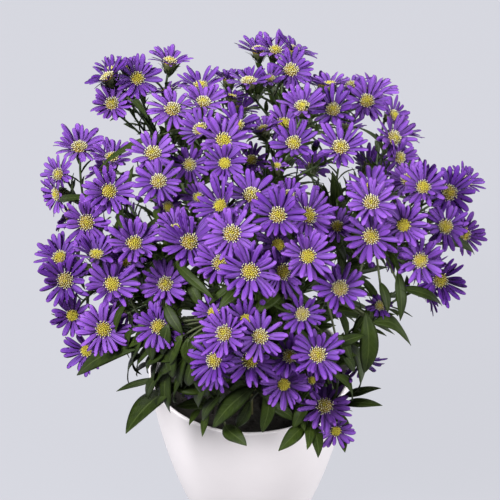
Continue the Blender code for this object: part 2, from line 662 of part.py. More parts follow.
def grow():
    """Works out the whole plant and returns the shapes of each node."""
    front = front_blooms()
    rows = front + back_blooms(front)
    centres, normals, radii = settle(rows)
    counts = [row[4] for row in rows]
    owner, heads = share_out(centres)
    necks = Crowd()
    crowd = Crowd()
    for i in range(len(centres)):
        under = [centres[i] - normals[i] * drop for drop in (CUP_TOP, CUP_TOP + CUP_LENGTH + NECK_CLEAR)]
        neck = tube_mesh(under, [CUP_RADIUS, 3.0 * STALK_RADIUS], 5)
        necks.add("stem%d" % owner[i], *neck, head=i)
        crowd.add("stem%d" % owner[i], *neck)
    group, links = link_up(centres, normals, radii, owner, necks)
    numbers = make_groups(group)
    groups = [numbers[g] for g in group]
    print("blooms", len(centres), "groups", len(numbers), "links", len(links))

    stems = [stem_path(head) for head in heads]
    green = {k: [] for k in range(STEMS)}
    for k, stem in enumerate(stems):
        path = [bezier(*stem, t) for t in STEM_MARKS]
        radius = np.linspace(STEM_FOOT_RADIUS, STEM_TOP_RADIUS, len(path))
        shape = tube_mesh(path, radius, STEM_SIDES)
        green[k].append(shape)
        crowd.add("stem%d" % k, *shape)
    crowd.add("pot", *turned_mesh(pot_profile()))
    crowd.add("soil", *turned_mesh(soil_profile()))
    held = grow_links(centres, normals, radii, groups, links, crowd)

    # Stalks, each clear of the other stems, of the linking rays and of the flowers' middles
    cores = Crowd()
    for i in range(len(centres)):
        across, over = frame_of(normals[i])
        reach = radii[i] * 0.55
        core = [centres[i] + reach * (math.cos(a) * across + math.sin(a) * over)
                for a in np.linspace(0.0, 2.0 * math.pi, 9)[:-1]]
        core += [centres[i] + normals[i] * 0.003, centres[i] - normals[i] * 0.0012]
        faces = [(k, (k + 1) % 8, 8) for k in range(8)] + [((k + 1) % 8, k, 9) for k in range(8)]
        cores.add("bloom%d" % i, core, faces)
    poor = 0
    twigs = []
    for i in range(len(centres)):
        stem = stems[owner[i]]
        first = best_start(stem, centres[i], normals[i])
        choice = None
        for shift, bow, lean in STALK_TRIES:
            start = min(0.97, max(0.2, first + shift))
            path, thick = stalk_path(stem, centres[i], normals[i], radii[i], start, bow, lean)
            shape = tube_mesh(path, thick, 3)
            name = "stem%d" % owner[i]
            bad = crowd.hits(name, *shape) * 3 + cores.hits("bloom%d" % i, *shape)
            if choice is None or bad < choice[0]:
                choice = (bad, shape, path)
            if bad == 0:
                break
        poor += choice[0] > 0
        green[owner[i]].append(choice[1])
        crowd.add("stem%d" % owner[i], *choice[1])
        twigs.append((owner[i], choice[2][:-1]))
    print("stalks that still touch", poor)

    stars = grow_stars(centres, normals, radii, counts, groups, held, crowd)
    holds = footholds(stems, twigs)
    grow_leaves(stems, holds, green, crowd)
    grow_buds(holds, green, crowd)
    bunches = {}
    for i, star in enumerate(stars):
        bunches.setdefault(groups[i], []).append(star)
    return stems, green, bunches


def link_rays(i, j, centres, normals, radii, height):
    """The two rays of neighbouring blooms that reach past each other where their flowers meet."""
    middle = unit(normals[i] + normals[j])
    weight = radii[i] / (radii[i] + radii[j])
    meet = centres[i] + (centres[j] - centres[i]) * weight
    best = None
    for step in range(-24, 25):
        spot = meet + middle * 0.0005 * step
        mine = (spot - centres[i]) @ normals[i]
        theirs = (spot - centres[j]) @ normals[j]
        cost = abs(mine - height) + abs(theirs - height)
        cost += 10.0 * (max(0.0, -LINK_DROP - mine) + max(0.0, -LINK_DROP - theirs))
        if best is None or cost < best[0]:
            best = (cost, spot)
    rays = []
    for k, other in ((i, j), (j, i)):
        across, over = frame_of(normals[k])
        line = unit(centres[other] - centres[k])
        target = best[1] + line * LINK_LAP - centres[k]
        rise = max(target @ normals[k], -LINK_DROP)
        flat = target - normals[k] * (target @ normals[k])
        angle = math.atan2(flat @ over, flat @ across) % (2.0 * math.pi)
        points = ray_points(centres[k], (across, over, normals[k]), np.linalg.norm(flat), angle, rise,
                            LINK_HALF_WIDTH)
        rays.append({"angle": angle, "points": points})
    return rays


def blade_of(centre, frame, ray, half_angle):
    """One ray as a closed blade of its own, with its share of the keel, to test what it would touch."""
    across, over, normal = frame
    roots = [centre + DISC_RADIUS * (math.cos(ray["angle"] + s) * across + math.sin(ray["angle"] + s) * over)
             for s in (-half_angle, half_angle)]
    right, left, tip = ray["points"]
    verts = [centre - normal * STAR_KEEL, roots[0], right, tip, left, roots[1]]
    faces = [(1, 2, 5), (2, 4, 5), (2, 3, 4), (0, 2, 1), (0, 3, 2), (0, 4, 3), (0, 5, 4), (0, 1, 5)]
    return verts, faces


def link_blades(i, j, centres, normals, radii, height):
    """The linking rays of two blooms at one height, and their blades for testing."""
    pair = link_rays(i, j, centres, normals, radii, height)
    blades = []
    for k, ray in zip((i, j), pair):
        frame = frame_of(normals[k]) + (normals[k],)
        blades.append(blade_of(centres[k], frame, ray, LINK_ROOT_ANGLE))
    return pair, blades


def grow_links(centres, normals, radii, groups, links, crowd):
    """The rays that link the blooms of a group, kept clear of the other groups' links."""
    held = {i: [] for i in range(len(centres))}
    touching = 0
    for i, j in links:
        node = "group%d" % groups[i]
        choice = None
        for height in LINK_HEIGHTS:
            pair, blades = link_blades(i, j, centres, normals, radii, height)
            bad = sum(crowd.hits(node, *blade) for blade in blades)
            if choice is None or bad < choice[0]:
                choice = (bad, pair, blades)
            if bad == 0:
                break
        touching += choice[0]
        for k, ray, blade in zip((i, j), choice[1], choice[2]):
            held[k].append(ray)
            crowd.add(node, *blade, head=k)
    print("link rays that touch", touching)
    return held


def grow_stars(centres, normals, radii, counts, groups, held, crowd):
    """The rest of each flower head, its rays bent, turned or shortened until clear of the other nodes."""
    total = len(centres)
    frames = [frame_of(n) + (n,) for n in normals]
    stars = []
    touching = 0
    for i in range(total):
        rng = random.Random(100 + i)
        node = "group%d" % groups[i]
        count = counts[i]
        step = 2.0 * math.pi / count
        turn = held[i][0]["angle"] if held[i] else rng.uniform(0.0, step)
        angles = [turn + step * k for k in range(count)]
        for ray in held[i]:
            near = min(angles, key=lambda a: abs((a - ray["angle"] + math.pi) % (2.0 * math.pi) - math.pi))
            angles.remove(near)
        rays = list(held[i])
        for angle in angles:
            angle += rng.uniform(-0.05, 0.05)
            rest = rng.uniform(-0.0006, 0.0016)
            size = rng.uniform(0.96, 1.03)
            choice = None
            for lift, stretch, swing in RAY_TRIES:
                rise = max(rest + lift, -LINK_DROP)
                half = RAY_HALF_WIDTH * radii[i] * min(1.0, stretch + 0.15)
                points = ray_points(centres[i], frames[i], radii[i] * size * stretch, angle + swing, rise, half)
                ray = {"angle": (angle + swing) % (2.0 * math.pi), "points": points}
                blade = blade_of(centres[i], frames[i], ray, 0.5 * step)
                bad = 10 * crowd.hits(node, *blade)
                bad += crowd.hits(node, *blade, head=i) if bad == 0 else 0
                if choice is None or bad < choice[0]:
                    choice = (bad, ray)
                if bad == 0:
                    break
            touching += choice[0] > 9
            rays.append(choice[1])
        rays.sort(key=lambda ray: ray["angle"])
        star = star_mesh(centres[i], frames[i], rays)
        stars.append(star)
        crowd.add(node, *star[:2], head=i)
    print("rays that touch", touching)
    return stars


def footholds(stems, twigs):
    """Places that a leaf or a bud can grow from: all up the stems, and along the bloom stalks."""
    places = [(k, on_stem(stem, t)) for k, stem in enumerate(stems) for t in np.linspace(0.2, 0.88, 12)]
    for k, path in twigs:
        for low, high in zip(path, path[1:]):
            places += [(k, low + (high - low) * share) for share in TWIG_SHARES]
    return places


def leaf_roots(holds, base, tip):
    """Places, nearest first, from which a leaf stalk runs on into its leaf without folding back."""
    found = []
    for k, root in holds:
        run = base - root
        distance = np.linalg.norm(run)
        if distance > LEAST_STALK and run @ unit(tip - base) > 0.1 * distance:
            found.append((distance, k, tuple(root)))
    return sorted(found)[:ROOT_TRIES]


def round_leaf(angle, base_reach, base_rise, tip_reach, tip_rise, width, rng):
    """Base, tip and width of a leaf that points outwards, drawn between limits over the pot's rim."""
    aim = np.array((math.cos(angle), math.sin(angle), 0.0))
    base = aim * rng.uniform(*base_reach) + np.array((0.0, 0.0, POT_HEIGHT + rng.uniform(*base_rise)))
    tip = aim * rng.uniform(*tip_reach) + np.array((0.0, 0.0, POT_HEIGHT + rng.uniform(*tip_rise)))
    return base, tip, rng.uniform(*width)


def leaf_plans(rng):
    """Leaves read from the front, a like skirt round the back, and a ruff that fills the pot's mouth."""
    plans = []
    for row in LEAVES:
        right, up, deep, tip_right, tip_up, tip_deep, width = (MM * value for value in row)
        plans.append((on_crown(right, up, deep), on_crown(tip_right, tip_up, tip_deep), width))
    for k in range(BACK_LEAVES):
        angle = math.radians(5.0 + 170.0 * (k + 0.5) / BACK_LEAVES) + rng.uniform(-0.06, 0.06)
        plans.append(round_leaf(angle, (0.042, 0.052), (0.026, 0.045), (0.088, 0.106), (-0.012, 0.022),
                                (0.011, 0.017), rng))
    for k in range(RUFF_LEAVES):
        plans.append(round_leaf(k * math.pi * (3.0 - math.sqrt(5.0)), (0.016, 0.034), (0.004, 0.030),
                                (0.046, 0.066), (0.010, 0.048), (0.011, 0.017), rng))
    return plans


def grow_leaves(stems, holds, green, crowd):
    """Puts each planned leaf on the nearest foothold that leaves it clear, and some more up every stem."""
    rng = random.Random(5)
    dropped = 0
    for base, tip, width in leaf_plans(rng):
        outward = unit(np.array((base[0], base[1], 0.0)) + 1e-6 * RIGHT)
        face = unit(np.array((0.0, 0.0, 0.75)) + outward * 0.5)
        stations = 3 if np.linalg.norm(tip - base) > LONG_LEAF else 2
        choice = None
        for distance, k, root in leaf_roots(holds, base, tip):
            root = np.array(root)
            for tip_move, size, base_move in LEAF_TRIES:
                end = base + (tip - base) * size + np.array(tip_move)
                near = base + np.array(base_move)
                if unit(end - near) @ unit(near - root) < 0.1:
                    continue
                wide = width * min(1.0, size + 0.15)
                blade = leaf_mesh(near, end, wide, LEAF_ARCH, face, stations, root)
                bad = crowd.hits("stem%d" % k, *blade)
                if choice is None or bad < choice[0]:
                    choice = (bad, blade, k)
                if bad == 0:
                    break
            if choice is not None and choice[0] == 0:
                break
        if choice is None or choice[0]:
            dropped += 1
            print("leaf left out", np.round(base, 3), choice is not None)
            continue
        green[choice[2]].append(choice[1])
        crowd.add("stem%d" % choice[2], *choice[1])
    for k, stem in enumerate(stems):
        for turn in range(STEM_LEAVES):
            t = 0.34 + 0.54 * (turn + rng.random()) / STEM_LEAVES
            root = on_stem(stem, t)
            along = unit(bezier(*stem, t + 0.02) - bezier(*stem, t - 0.02))
            across, over = frame_of(along)
            length = rng.uniform(0.030, 0.042)
            placed = None
            for extra in (0.0, 0.5, -0.5, 1.0, -1.0, 1.6, -1.6, 2.4):
                angle = turn * 2.4 + k + extra
                aim = unit(math.cos(angle) * across + math.sin(angle) * over + 0.55 * along)
                for size in (1.0, 0.8):
                    tip = root + aim * length * size
                    blade = leaf_mesh(root, tip, STEM_LEAF_WIDTH * size, LEAF_ARCH, along, 2)
                    if crowd.hits("stem%d" % k, *blade) == 0:
                        placed = blade
                        break
                if placed:
                    break
            if placed is None:
                dropped += 1
                continue
            green[k].append(placed)
            crowd.add("stem%d" % k, *placed)
    print("leaves left out", dropped)


def grow_buds(holds, green, crowd):
    """Closed buds on short stalks among the blooms."""
    for right, up, deep, length in BUDS:
        spot = on_crown(right * MM, up * MM, deep * MM)
        size = length * MM
        outward = unit(spot - CROWN_CENTRE + np.array((0.0, 0.0, 0.05)))
        neck = spot - outward * size
        roots = sorted((np.linalg.norm(neck - root), k, tuple(root)) for k, root in holds
                       if (neck - root) @ outward > 0.4 * np.linalg.norm(neck - root) > 0.4 * LEAST_STALK)
        placed = None
        for distance, k, root in roots[:ROOT_TRIES]:
            for shift in BUD_TRIES:
                tip = spot + np.array(shift)
                neck = tip - outward * size
                knee = 0.5 * (np.array(root) + neck) - outward * 0.1 * distance
                path = [np.array(root), knee, neck, neck + outward * 0.5 * size, tip]
                radii = [STALK_RADIUS, STALK_RADIUS, STALK_RADIUS, 0.25 * size, 0.05 * size]
                shape = tube_mesh(path, radii, 3)
                if crowd.hits("stem%d" % k, *shape) == 0:
                    placed = shape
                    break
            if placed:
                break
        if placed is None:
            print("bud left out", right, up)
            continue
        green[k].append(placed)
        crowd.add("stem%d" % k, *placed)


# Objects

def material(name, colour, roughness):
    """A plain finish."""
    finish = bpy.data.materials.new(name)
    finish.use_nodes = True
    shader = finish.node_tree.nodes["Principled BSDF"]
    shader.inputs["Base Color"].default_value = (*colour, 1.0)
    shader.inputs["Roughness"].default_value = roughness
    shader.inputs["Metallic"].default_value = 0.0
    return finish


def islands(mesh):
    """The separate closed bodies of a mesh, as lists of faces."""
    left = set(mesh.faces)
    found = []
    while left:
        stack = [left.pop()]
        body = list(stack)
        while stack:
            face = stack.pop()
            for edge in face.edges:
                for other in edge.link_faces:
                    if other in left:
                        left.remove(other)
                        stack.append(other)
                        body.append(other)
        found.append(body)
    return found


def part_shared_edges(mesh):
    """Where cutting a many-sided face ran a new edge along an old one, gives the new one a point of its own."""
    for edge in [edge for edge in mesh.edges if len(edge.link_faces) == 4]:
        faces = list(edge.link_faces)
        pairs = [(a.normal.dot(b.normal), a, b) for k, a in enumerate(faces) for b in faces[k + 1:]]
        flat, first, second = max(pairs, key=lambda pair: pair[0])
        middle = mesh.verts.new((edge.verts[0].co + edge.verts[1].co) / 2.0)
        for face in (first, second):
            ring = list(face.verts)
            while ring[2] in edge.verts:
                ring = ring[1:] + ring[:1]
            slot = face.material_index
            mesh.faces.remove(face)
            for corners in ((ring[0], middle, ring[2]), (middle, ring[1], ring[2])):
                mesh.faces.new(corners).material_index = slot


def fuse(name, shapes, paint):
    """Joins a node's shapes by one Boolean union on a collection, and drops loose scraps.

    The ray tips that meet lie almost flush, where the exact solver leaves open edges, so this one is used.
    """
    parts = [solid("%s_part" % name, shape[0], shape[1], paint, shape[2] if len(shape) > 2 else None)
             for shape in shapes]
    node = parts[0]
    node.name = name
    node.data.name = name
    if len(parts) > 1:
        bunch = bpy.data.collections.new("%s_repeats" % name)
        bpy.context.scene.collection.children.link(bunch)
        for extra in parts[1:]:
            bunch.objects.link(extra)
            bpy.context.scene.collection.objects.unlink(extra)
        joint = node.modifiers.new("Join", "BOOLEAN")
        joint.operation = "UNION"
        joint.operand_type = "COLLECTION"
        joint.collection = bunch
        joint.solver = "MANIFOLD"
        graph = bpy.context.evaluated_depsgraph_get()
        merged = bpy.data.meshes.new_from_object(node.evaluated_get(graph))
        node.modifiers.clear()
        node.data = merged
        merged.name = name
        for extra in parts[1:]:
            bpy.data.objects.remove(extra)
        bpy.data.collections.remove(bunch)
    work = bmesh.new()
    work.from_mesh(node.data)
    bmesh.ops.triangulate(work, faces=work.faces)
    part_shared_edges(work)
    bodies = sorted(islands(work), key=len, reverse=True)
    open_edges = sum(not edge.is_manifold for edge in work.edges)
    if len(bodies) > 1 or open_edges:
        print("look at", name, [len(body) for body in bodies], "open edges", open_edges)
        for body in bodies[1:]:
            print("  scrap round", [round(value, 3) for value in body[0].calc_center_median()])
    for body in bodies[1:]:
        bmesh.ops.delete(work, geom=body, context="FACES")
    loose = [vert for vert in work.verts if not vert.link_faces]
    bmesh.ops.delete(work, geom=loose, context="VERTS")
    work.to_mesh(node.data)
    work.free()
    return node


def make_pot(paint):
    """The hollow pot, with a small lip and a flat floor."""
    pot = solid("pot", *turned_mesh(pot_profile()), [paint])
    pot.data.shade_smooth()
    pot.data.set_sharp_from_angle(angle=math.radians(35.0))


def make_soil(paint, stems):
    """The soil, with a plain blind hole for each stem."""
    soil = solid("soil", *turned_mesh(soil_profile()), [paint])
    holes = bpy.data.collections.new("holes")
    bpy.context.scene.collection.children.link(holes)
    for stem in stems:
        path = [bezier(*stem, t) for t in STEM_MARKS[:3]]
        path[0] = path[0] - np.array((0.0, 0.0, 2.0 * GAP))
        verts, faces = tube_mesh(path, [STEM_FOOT_RADIUS + 3.0 * GAP] * 3, STEM_SIDES)
        hole = solid("hole", verts, faces, [])
        hole.hide_render = True
        hole.display_type = "WIRE"
        holes.objects.link(hole)
        bpy.context.scene.collection.objects.unlink(hole)
    cut = soil.modifiers.new("Holes", "BOOLEAN")
    cut.operation = "DIFFERENCE"
    cut.operand_type = "COLLECTION"
    cut.collection = holes
    cut.solver = "EXACT"
    graph = bpy.context.evaluated_depsgraph_get()
    soil_mesh = bpy.data.meshes.new_from_object(soil.evaluated_get(graph))
    soil.modifiers.clear()
    soil.data = soil_mesh
    for hole in list(holes.objects):
        bpy.data.objects.remove(hole)
    bpy.data.collections.remove(holes)


def build():
    """Clears the scene and makes every node."""
    for obj in list(bpy.data.objects):
        bpy.data.objects.remove(obj)
    violet = material("violet rays", VIOLET, 0.6)
    yellow = material("yellow disc", YELLOW, 0.8)
    leaf_green = material("leaf green", GREEN, 0.55)
    white = material("white pot", WHITE, 0.5)
    brown = material("brown soil", BROWN, 0.95)
    stems, green, bunches = grow()
    make_pot(white)
    make_soil(brown, stems)
    for k in range(STEMS):
        fuse("leafy_stem_%02d" % (k + 1), green[k], [leaf_green])
    for g in sorted(bunches):
        fuse("blooms_%02d" % (g + 1), bunches[g], [violet, yellow])


build()
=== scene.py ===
import itertools
import math
import random

import bpy
import numpy as np
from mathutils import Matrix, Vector
from mathutils.bvhtree import BVHTree
from mathutils.kdtree import KDTree


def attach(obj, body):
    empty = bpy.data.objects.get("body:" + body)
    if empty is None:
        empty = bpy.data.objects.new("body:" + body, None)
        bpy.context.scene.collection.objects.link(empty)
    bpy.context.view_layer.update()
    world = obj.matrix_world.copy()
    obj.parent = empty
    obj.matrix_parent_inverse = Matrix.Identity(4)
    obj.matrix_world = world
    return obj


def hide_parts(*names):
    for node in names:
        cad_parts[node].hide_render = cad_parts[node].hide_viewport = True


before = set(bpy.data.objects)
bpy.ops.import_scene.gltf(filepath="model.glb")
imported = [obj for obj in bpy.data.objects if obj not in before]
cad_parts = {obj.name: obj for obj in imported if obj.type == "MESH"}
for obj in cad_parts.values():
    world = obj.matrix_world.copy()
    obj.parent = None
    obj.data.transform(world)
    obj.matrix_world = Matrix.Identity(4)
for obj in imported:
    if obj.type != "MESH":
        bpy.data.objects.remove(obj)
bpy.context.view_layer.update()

mm = 0.001
golden = math.pi * (3.0 - math.sqrt(5.0))
rightWay = np.array((1.0, 0.0, 0.0))
upWay = np.array((0.0, 0.0, 1.0))


# How the plant stands, by the same rule as the solids

pot = {"height": 0.125, "rimRadius": 0.072, "footRadius": 0.044, "wall": 0.0028, "floor": 0.004, "taper": 0.08}
soil = {"drop": 0.014, "depth": 0.045, "swell": 0.004}
# metres from the middle of the rim, the camera's rise and downward tilt, its sensor and lens in mm
sight = {
    "distance": 1.55, "rise": math.radians(40.0), "pitch": math.radians(36.95), "sensor": 36.0, "lens": 157.0,
}
crown = {
    "centre": np.array((0.006, 0.0, 0.254)), "radius": 0.138, "rise": 0.090, "drop": 0.118, "layerStep": 0.013,
    "backPoints": 150, "backSpacing": 0.035, "backLowest": 0.166, "backBloom": 0.0172, "backSink": 0.012,
    "backSizes": (0.88, 1.06), "backFacing": 0.02, "backSeed": 11,
}
stemPlan = {
    "count": 9, "footRing": 0.034, "footRadius": 0.0021, "topRadius": 0.0011, "sink": 0.022, "headDepth": 0.034,
    "marks": (0.0, 0.2, 0.42, 0.62, 0.82, 1.0), "stalkRadius": 0.00062, "shortStalk": 0.022,
    "cupRadius": 0.0045, "cupTop": 0.0019, "cupLength": 0.0075, "twigShares": (0.35, 0.7), "leastStalk": 0.004,
    "lowestStart": 0.2, "highestStart": 0.97, "firstBow": 0.35,
}
settlePlan = {
    "clear": 0.0016, "most": 0.017, "turns": 90, "share": 0.25, "step": 0.002, "leastSlope": 0.35,
    "enough": 0.0003, "sides": 12,
}
# mm right of and above the middle of the rim in the front sight, radius in mm, face right, face up, layer
frontRows = (
    (-101, 205, 17, -0.5, 0.8, 0), (-98, 210, 14, -0.1, 0.95, 1), (-87, 211, 14, 0, 0.9, 1),
    (-80, 204, 18, 0.1, 0.35, 0), (-98, 186, 17, -0.05, 0.45, 0), (-121, 155, 19, -0.05, 0.7, 0),
    (-57, 216, 17, 0.15, 0.9, 0), (-35, 199, 17, 0, 0.85, 1), (-55, 182, 18, 0, 0.6, 0),
    (-33, 187, 17, 0.1, 0.75, 0), (-13, 191, 12, 0.2, 0.95, 1), (-1, 202, 17, -0.1, 0.9, 0),
    (6, 224, 17, -0.1, 0.93, 0), (18, 224, 16, 0.1, 0.8, 0), (31, 224, 17, 0.5, 0.85, 0),
    (29, 210, 17, 0.05, 0.45, 0), (14, 204, 11, 0, 0.7, 1), (57, 200, 14, 0, 0.95, 0),
    (72, 199, 14, -0.1, 0.85, 1), (87, 195, 18, 0.2, 0.85, 1), (37, 184, 17, 0, 0.75, 0),
    (59, 182, 17, 0, 0.4, 0), (83, 188, 17, 0.1, 0.35, 0), (24, 172, 17, 0, 0.6, 2),
    (9, 168, 14, -0.3, 0.9, 2), (31, 158, 17, 0, 0.45, 0), (64, 155, 19, 0.05, 0.55, 0),
    (-35, 168, 17, -0.4, 0.65, 0), (-9, 171, 15, 0.1, 0.65, 0), (-19, 160, 19, 0.25, 0.4, 0),
    (-69, 151, 18, 0, 0.55, 0), (102, 178, 14, 0.7, 0.35, 0), (102, 162, 17, 0.6, 0.25, 0),
    (106, 148, 14, 0.65, 0.1, 1), (-136, 136, 14, -0.55, 0.2, 0), (-137, 122, 15, -0.85, -0.2, 0),
    (-100, 124, 19, 0, 0.2, 0), (-98, 148, 15, 0, 0.7, 1), (-116, 102, 19, -0.15, 0.1, 0),
    (-82, 87, 19, 0, 0.4, 0), (-109, 79, 17, 0, 0.75, 0), (-135, 77, 18, -0.3, 0.6, 1),
    (-65, 131, 17, 0, 0.3, 0), (-43, 143, 14, 0.05, 0.1, 2), (-18, 144, 15, 0, 0.2, 0),
    (1, 146, 13, 0, 0.6, 3), (1, 121, 19, 0, 0.6, 0), (-58, 113, 12, 0, 0.15, 2),
    (-43, 88, 20, -0.05, 0.3, 0), (-53, 97, 15, 0, 0.6, 1), (-21, 114, 18, -0.4, 0.4, 0),
    (-13, 94, 19, -0.05, 0.2, 0), (-21, 73, 17, -0.15, 0.35, 0), (-37, 120, 11, -0.3, 0.4, 2),
    (20, 107, 19, -0.05, 0.3, 0), (41, 107, 19, 0.45, 0.15, 0), (27, 121, 14, 0, 0.7, 1),
    (20, 86, 17, 0, 0.15, 1), (41, 78, 18, 0.1, 0.05, 0), (62, 99, 14, 0.1, 0.4, 2),
    (0, 67, 20, 0, 0, 0), (86, 116, 18, 0, 0.4, 0), (86, 127, 17, 0, 0.7, 1),
    (86, 92, 19, 0, 0.1, 1), (19, 142, 8, 0, 0.8, 2),
    (123, 127, 17, 0, 0.3, 0), (112, 132, 15, -0.2, 0.5, 1), (141, 123, 19, 0.25, 0.1, 0),
    (153, 131, 14, 0.5, 0.5, 1), (109, 100, 18, 0, 0.15, 0), (139, 99, 17, 0, 0.05, 0),
    (152, 94, 16, 0.55, 0, 1), (121, 75, 17, 0, 0.1, 0), (135, 61, 18, 0.25, -0.15, 1),
    (92, 43, 10, 0, 0.1, 2), (-131, 61, 19, -0.05, 0, 0),
    (-126, 36, 16, -0.1, 0, 0), (-104, 26, 19, -0.05, 0.1, 0), (-116, 11, 17, -0.5, -0.2, 1),
    (-98, 58, 19, 0.05, 0.25, 0), (-89, 74, 14, 0, 0.4, 2), (-60, 58, 17, 0, 0.2, 2),
    (-65, 28, 17, 0, 0.1, 1), (-26, 38, 14, 0, 0.5, 1), (-18, 23, 19, -0.4, 0.2, 0),
    (-3, 33, 15, 0, 0.2, 1), (-25, 4, 18, -0.45, 0.05, 0), (-26, -4, 15, -0.3, -0.3, 1),
    (-30, 13, 12, -0.3, 0.2, 2), (0, 4, 19, 0, 0.05, 1), (7, 21, 17, 0.1, 0.1, 0),
    (10, -6, 11, 0.3, -0.5, 2), (23, 67, 18, 0.5, -0.1, 1), (64, 55, 18, 0, 0.25, 1),
    (37, 37, 15, 0.1, 0, 1), (28, 7, 15, 0, 0.05, 1), (48, 8, 19, 0.1, 0.15, 0),
    (24, -13, 17, 0.05, -0.15, 1), (44, -10, 10, 0, 0, 2), (53, -28, 19, 0, 0, 0),
    (61, -46, 14, 0.05, -0.35, 1),
)
# all in mm: base right, base up, base depth, tip right, tip up, tip depth, width
leafRows = (
    (-60, 165, 14, -106, 141, 6, 7), (-84, 188, 16, -72, 176, 8, 5), (-114, 121, 14, -138, 114, 10, 6),
    (135, 87, 18, 159, 80, 10, 9), (106, 55, 14, 148, 40, 6, 10), (105, 68, 18, 106, 32, 8, 9),
    (87, 31, 14, 114, 18, 2, 11), (82, 38, 16, 81, -5, -4, 13), (71, 15, 18, 75, -18, 6, 14),
    (67, -21, 18, 93, -16, 6, 7), (66, -27, 14, 94, -28, 2, 7), (39, -42, 8, 20, -60, -4, 10),
    (44, -38, 12, 40, -59, 0, 8), (48, -42, 8, 47, -65, -6, 9), (62, -47, 24, 71, -68, 8, 8),
    (64, -33, 16, 77, -57, 4, 10), (-75, 15, 20, -123, -5, 6, 14), (-64, -9, 20, -95, -18, 8, 5),
    (-57, -17, 16, -87, -48, -2, 18), (-58, 1, 22, -57, -33, 4, 13), (-25, -28, 16, -53, -28, 6, 9),
    (4, -14, 20, -27, -43, -2, 13), (-18, -42, 10, -3, -57, -4, 11), (11, -16, 16, 11, -47, -4, 9),
    (-18, -9, 16, -23, -22, 8, 5), (21, 58, 16, 50, 38, 8, 6), (5, 74, 18, 22, 68, 10, 5),
    (-53, 74, 22, -26, 47, 10, 7), (45, 163, 16, 36, 165, 8, 4), (6, 54, 18, 6, 37, 12, 5),
    (75, 170, 24, 96, 153, 16, 7), (-91, 114, 22, -89, 93, 14, 6), (-71, 111, 24, -60, 102, 16, 6),
    (-36, -30, 14, -43, -42, 4, 5), (-30, -34, 14, -34, -50, 2, 5), (-70, 2, 24, -80, -7, 14, 5),
)
# ranges of a leaf in the back skirt or the pot's mouth: base out, base up, tip out, tip up, width
leafPlan = {
    "rootTries": 16, "backLeaves": 14, "ruffLeaves": 26, "stemLeaves": 3, "arch": 0.10, "stemLeafWidth": 0.0085,
    "stemLeafLength": (0.030, 0.042), "seed": 5,
    "back": ((0.042, 0.052), (0.026, 0.045), (0.088, 0.106), (-0.012, 0.022), (0.011, 0.017)),
    "ruff": ((0.016, 0.034), (0.004, 0.030), (0.046, 0.066), (0.010, 0.048), (0.011, 0.017)),
}
leafTries = tuple((tip, size, base) for size in (1.0, 0.85, 0.7, 0.55, 0.42)
                  for base in ((0.0, 0.0, 0.0), (0.0, 0.008, -0.005), (0.0, 0.014, -0.010), (0.006, 0.004, 0.0),
                               (-0.006, 0.004, 0.0))
                  for tip in ((0.0, 0.0, 0.0), (0.0, 0.005, -0.004), (0.0, -0.006, 0.003), (0.005, 0.0, 0.0),
                              (-0.005, 0.0, 0.0)))
# mm right, mm up, mm deep, length in mm
budRows = (
    (-103, 98, 6, 7), (-81, 120, 8, 7), (48, 160, 6, 9), (66, 120, 10, 8), (68, 114, 8, 7),
    (-82, 35, 10, 9), (64, 36, 8, 8), (62, -11, 10, 7), (72, -11, 8, 7), (115, 55, 6, 9),
    (48, 127, 26, 9), (88, 72, 26, 9), (-16, 44, 6, 8), (9, 45, 6, 8),
)
budTries = ((0.0, 0.0, 0.0), (0.0, 0.004, -0.003), (0.004, 0.0, 0.0), (-0.004, 0.0, 0.0), (0.0, 0.009, -0.007),
            (0.0, -0.005, 0.004))

rimCentre = np.array((0.0, 0.0, pot["height"]))
eye = rimCentre + sight["distance"] * np.array((0.0, -math.cos(sight["rise"]), math.sin(sight["rise"])))
aheadWay = np.array((0.0, math.cos(sight["pitch"]), -math.sin(sight["pitch"])))
sightUp = np.array((0.0, math.sin(sight["pitch"]), math.cos(sight["pitch"])))
rimAhead = float((rimCentre - eye) @ aheadWay)
rimUp = float((rimCentre - eye) @ sightUp)
soilTop = pot["height"] - soil["drop"]


def unit(v):
    return v / np.linalg.norm(v)


def units(v):
    return v / np.linalg.norm(v, axis=-1, keepdims=True)


def turned(angle, across, over):  # cos of the angle along across, and sin of it along over
    return np.cos(angle)[..., None] * across + np.sin(angle)[..., None] * over


def levelWay(point):  # from the pot's axis out to a point
    return unit(np.array((point[0], point[1], 0.0)) + 1e-6 * rightWay)


def sightLine(x, v):  # from the eye through a place x right of and v above the middle of the rim
    return unit(aheadWay * rimAhead + rightWay * x + sightUp * (v + rimUp))


def onCrown(x, v, back):  # where the sight line meets the egg-shaped crown, and then on by back
    ray = sightLine(x, v)
    for halfHeight in (crown["rise"], crown["drop"]):
        squash = 1.0 / np.array((crown["radius"], crown["radius"], halfHeight))
        start = (eye - crown["centre"]) * squash
        step = ray * squash
        a = step @ step
        b = start @ step
        inside = max(b * b - a * (start @ start - 1.0), 0.0)
        point = eye + ray * (-b - math.sqrt(inside)) / a
        if point[2] >= crown["centre"][2]:
            break
    return point + ray * back


def frameOf(normal):
    across = np.cross(upWay, normal)
    if np.linalg.norm(across) < 0.05:
        across = rightWay
    across = unit(across - normal * (across @ normal))
    return across, np.cross(normal, across)


